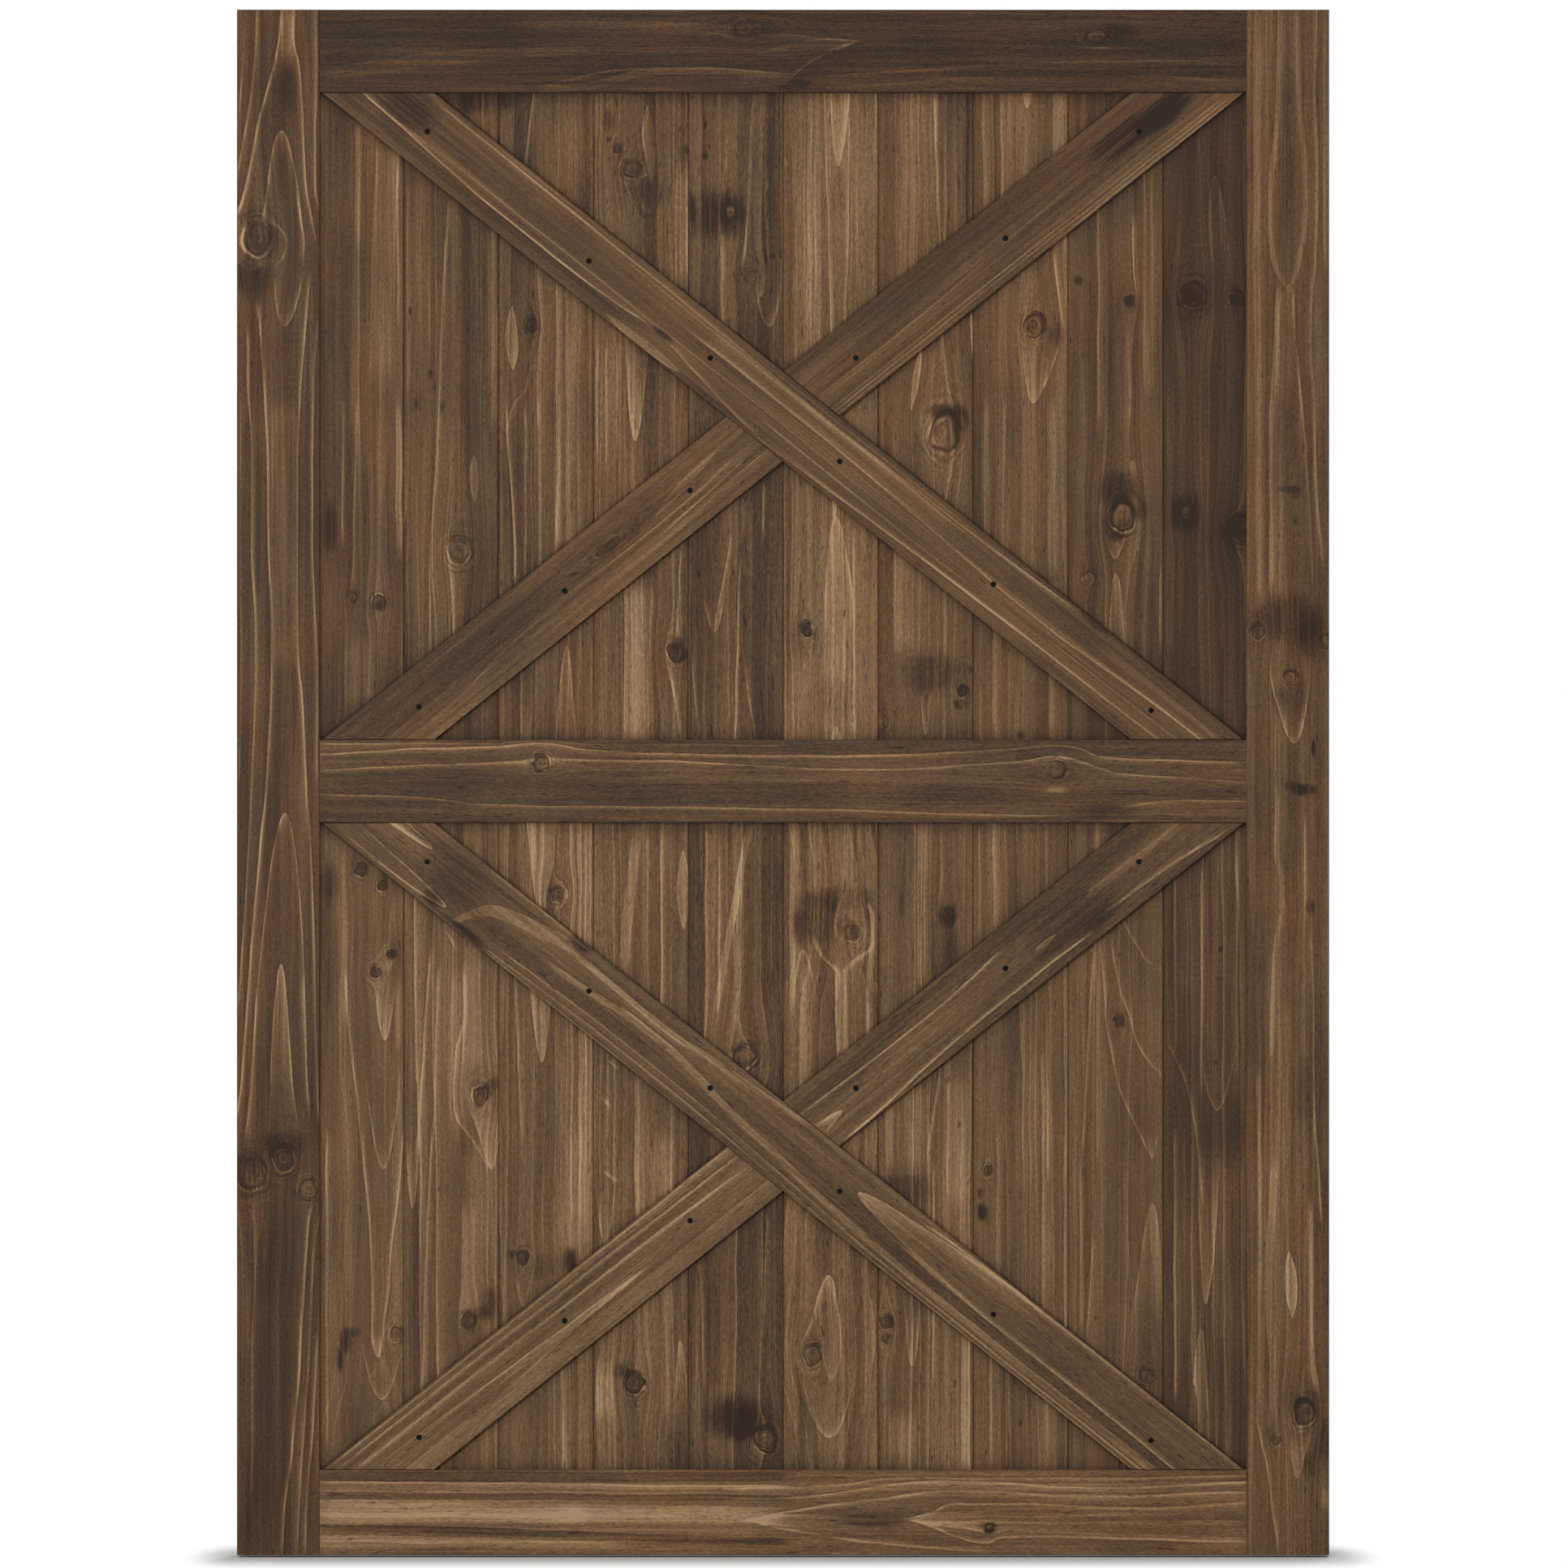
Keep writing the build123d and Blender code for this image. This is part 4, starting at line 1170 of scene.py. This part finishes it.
def screwMaterial():
    # black, rubbed paler in small patches
    material, shader, place = newMaterial("screwBlack")
    rubbed = place.noise((screws["rubbedScale"],) * 3, detail=2.0)
    stops = [(0.0, screws["black"]), (1.0, screws["rubbed"])]
    tone = rubbed.node("ValToRGB", {"stops": stops}, {0: rubbed.step(*screws["rubbedEdge"])})
    tone.feed(shader, "Base Color")
    (rubbed * screws["roughSpread"] + screws["roughness"]).feed(shader, "Roughness")
    shader.inputs["Specular IOR Level"].default_value = screws["specular"]
    return material


centres = []
for level in ("upper", "lower"):
    low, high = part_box(f"{level}_long_brace")
    middle = np.array([(low.x + high.x) / 2, (low.z + high.z) / 2])
    for stations, way in ((screws["longStations"], -1), (screws["halfStations"], 1)):
        share = np.array(stations)[:, None]
        centres.append(middle + share * np.array([braceRun / 2, way * braceFall / 2]))
    faceY = low.y
screwPiece = bpy.data.objects.new("brace_screws", screwMesh(np.concatenate(centres), faceY))
bpy.context.scene.collection.objects.link(screwPiece)
screwPiece.data.materials.append(screwMaterial())
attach(screwPiece, "root")
print("screws set:", sum(len(part) for part in centres))

# Camera: square on, from far off, so that the frame of the photo fits round the leaf
camera = {"lens": 220.0, "sensor": 36.0}
view = bpy.data.cameras.new("camera")
view.lens = camera["lens"]
view.sensor_width = camera["sensor"]
aimX, aimZ = fromPhoto(photo["side"] / 2, photo["side"] / 2)
distance = photo["side"] * pixel * camera["lens"] / camera["sensor"]
viewer = bpy.data.objects.new("camera", view)
viewer.location = (aimX, cadLow.y - distance, aimZ)
viewer.rotation_euler = (math.pi / 2, 0.0, 0.0)
view.clip_end = 10 * distance
bpy.context.scene.collection.objects.link(viewer)
bpy.context.scene.camera = viewer

# Stage: white all round, a pale floor just under the leaf, and soft light from in front, above and behind
studio = {
    "white": 1.0,
    "ambient": 0.62,
    "boxes": {       # place, side in metres, watts
        "key": ((-2.0, -6.0, -0.2), 2.6, 180.0),
        "top": ((0.8, -3.5, 4.5), 2.2, 63.0),
        "back": ((1.6, 4.8, 1.6), 2.4, 130.0),
    },
    "floorTone": 0.60,
    "floorRough": 0.9,
    "floorGap": 0.003,
    "floorSide": 14.0,
    "floorFade": (0.03, 0.24),    # metres from the leaf, over which the camera's floor turns white
    "fadeBeside": 3.0,            # the fade is this much quicker past the leaf's ends
}


def seenRays(tree):
    # 1 on the camera's rays and on those that gloss and glass send on
    path = Wire(tree.nodes.new("ShaderNodeLightPath").outputs["Is Camera Ray"])
    seen = path.math("MAXIMUM", path, path.output("Is Glossy Ray"))
    return path.math("MAXIMUM", seen, path.output("Is Transmission Ray"))


def softBox(name, place, aim, side, power):
    lamp = bpy.data.lights.new(name, "AREA")
    lamp.shape = "SQUARE"
    lamp.size = side
    lamp.energy = power
    box = bpy.data.objects.new(name, lamp)
    box.location = place
    look = (aim[0] - place[0], aim[1] - place[1], aim[2] - place[2])
    tilt = math.atan2(math.hypot(look[0], look[1]), -look[2])
    box.rotation_euler = (tilt, 0.0, math.atan2(-look[0], look[1]))
    bpy.context.scene.collection.objects.link(box)


def floorMaterial():
    # pale; away from the leaf the camera sees it as white as the backdrop
    material, shader, place = newMaterial("floor")
    tree = material.node_tree
    shader.inputs["Base Color"].default_value = (*[studio["floorTone"]] * 3, 1.0)
    shader.inputs["Roughness"].default_value = studio["floorRough"]
    shader.inputs["Specular IOR Level"].default_value = 0.0
    x = place.node("SeparateXYZ", {}, {0: place})
    y = x.output(1)
    beside = x.math("MAXIMUM", abs(x) - cadHigh.x, 0.0) * studio["fadeBeside"]
    off = (beside * beside + y * y) ** 0.5
    glow = x.node("Emission", {}, {"Color": (1.0, 1.0, 1.0, 1.0), "Strength": studio["white"]})
    share = seenRays(tree) * off.step(*studio["floorFade"])
    mixed = x.node("MixShader", {}, {0: share, 1: Wire(shader.outputs[0]), 2: glow})
    mixed.feed(tree.nodes["Material Output"], "Surface")
    material.cycles.emission_sampling = "NONE"    # seen, not lit by
    return material


world = bpy.data.worlds.new("studio")
bpy.context.scene.world = world
world.use_nodes = True
background = world.node_tree.nodes["Background"]
background.inputs["Color"].default_value = (1.0, 1.0, 1.0, 1.0)
strength = seenRays(world.node_tree) * (studio["white"] - studio["ambient"]) + studio["ambient"]
strength.feed(background, "Strength")
for name, (place, side, power) in studio["boxes"].items():
    softBox(name, place, (aimX, 0.0, aimZ), side, power)

half, floorZ = studio["floorSide"] / 2, cadLow.z - studio["floorGap"]
floorMesh = bpy.data.meshes.new("floor")
corners = [(-half, -half, floorZ), (half, -half, floorZ), (half, half, floorZ), (-half, half, floorZ)]
floorMesh.from_pydata(corners, [], [(0, 1, 2, 3)])
floorMesh.materials.append(floorMaterial())
floor = bpy.data.objects.new("floor", floorMesh)
bpy.context.scene.collection.objects.link(floor)
bpy.context.scene.view_settings.view_transform = "Standard"
print("stage lit")
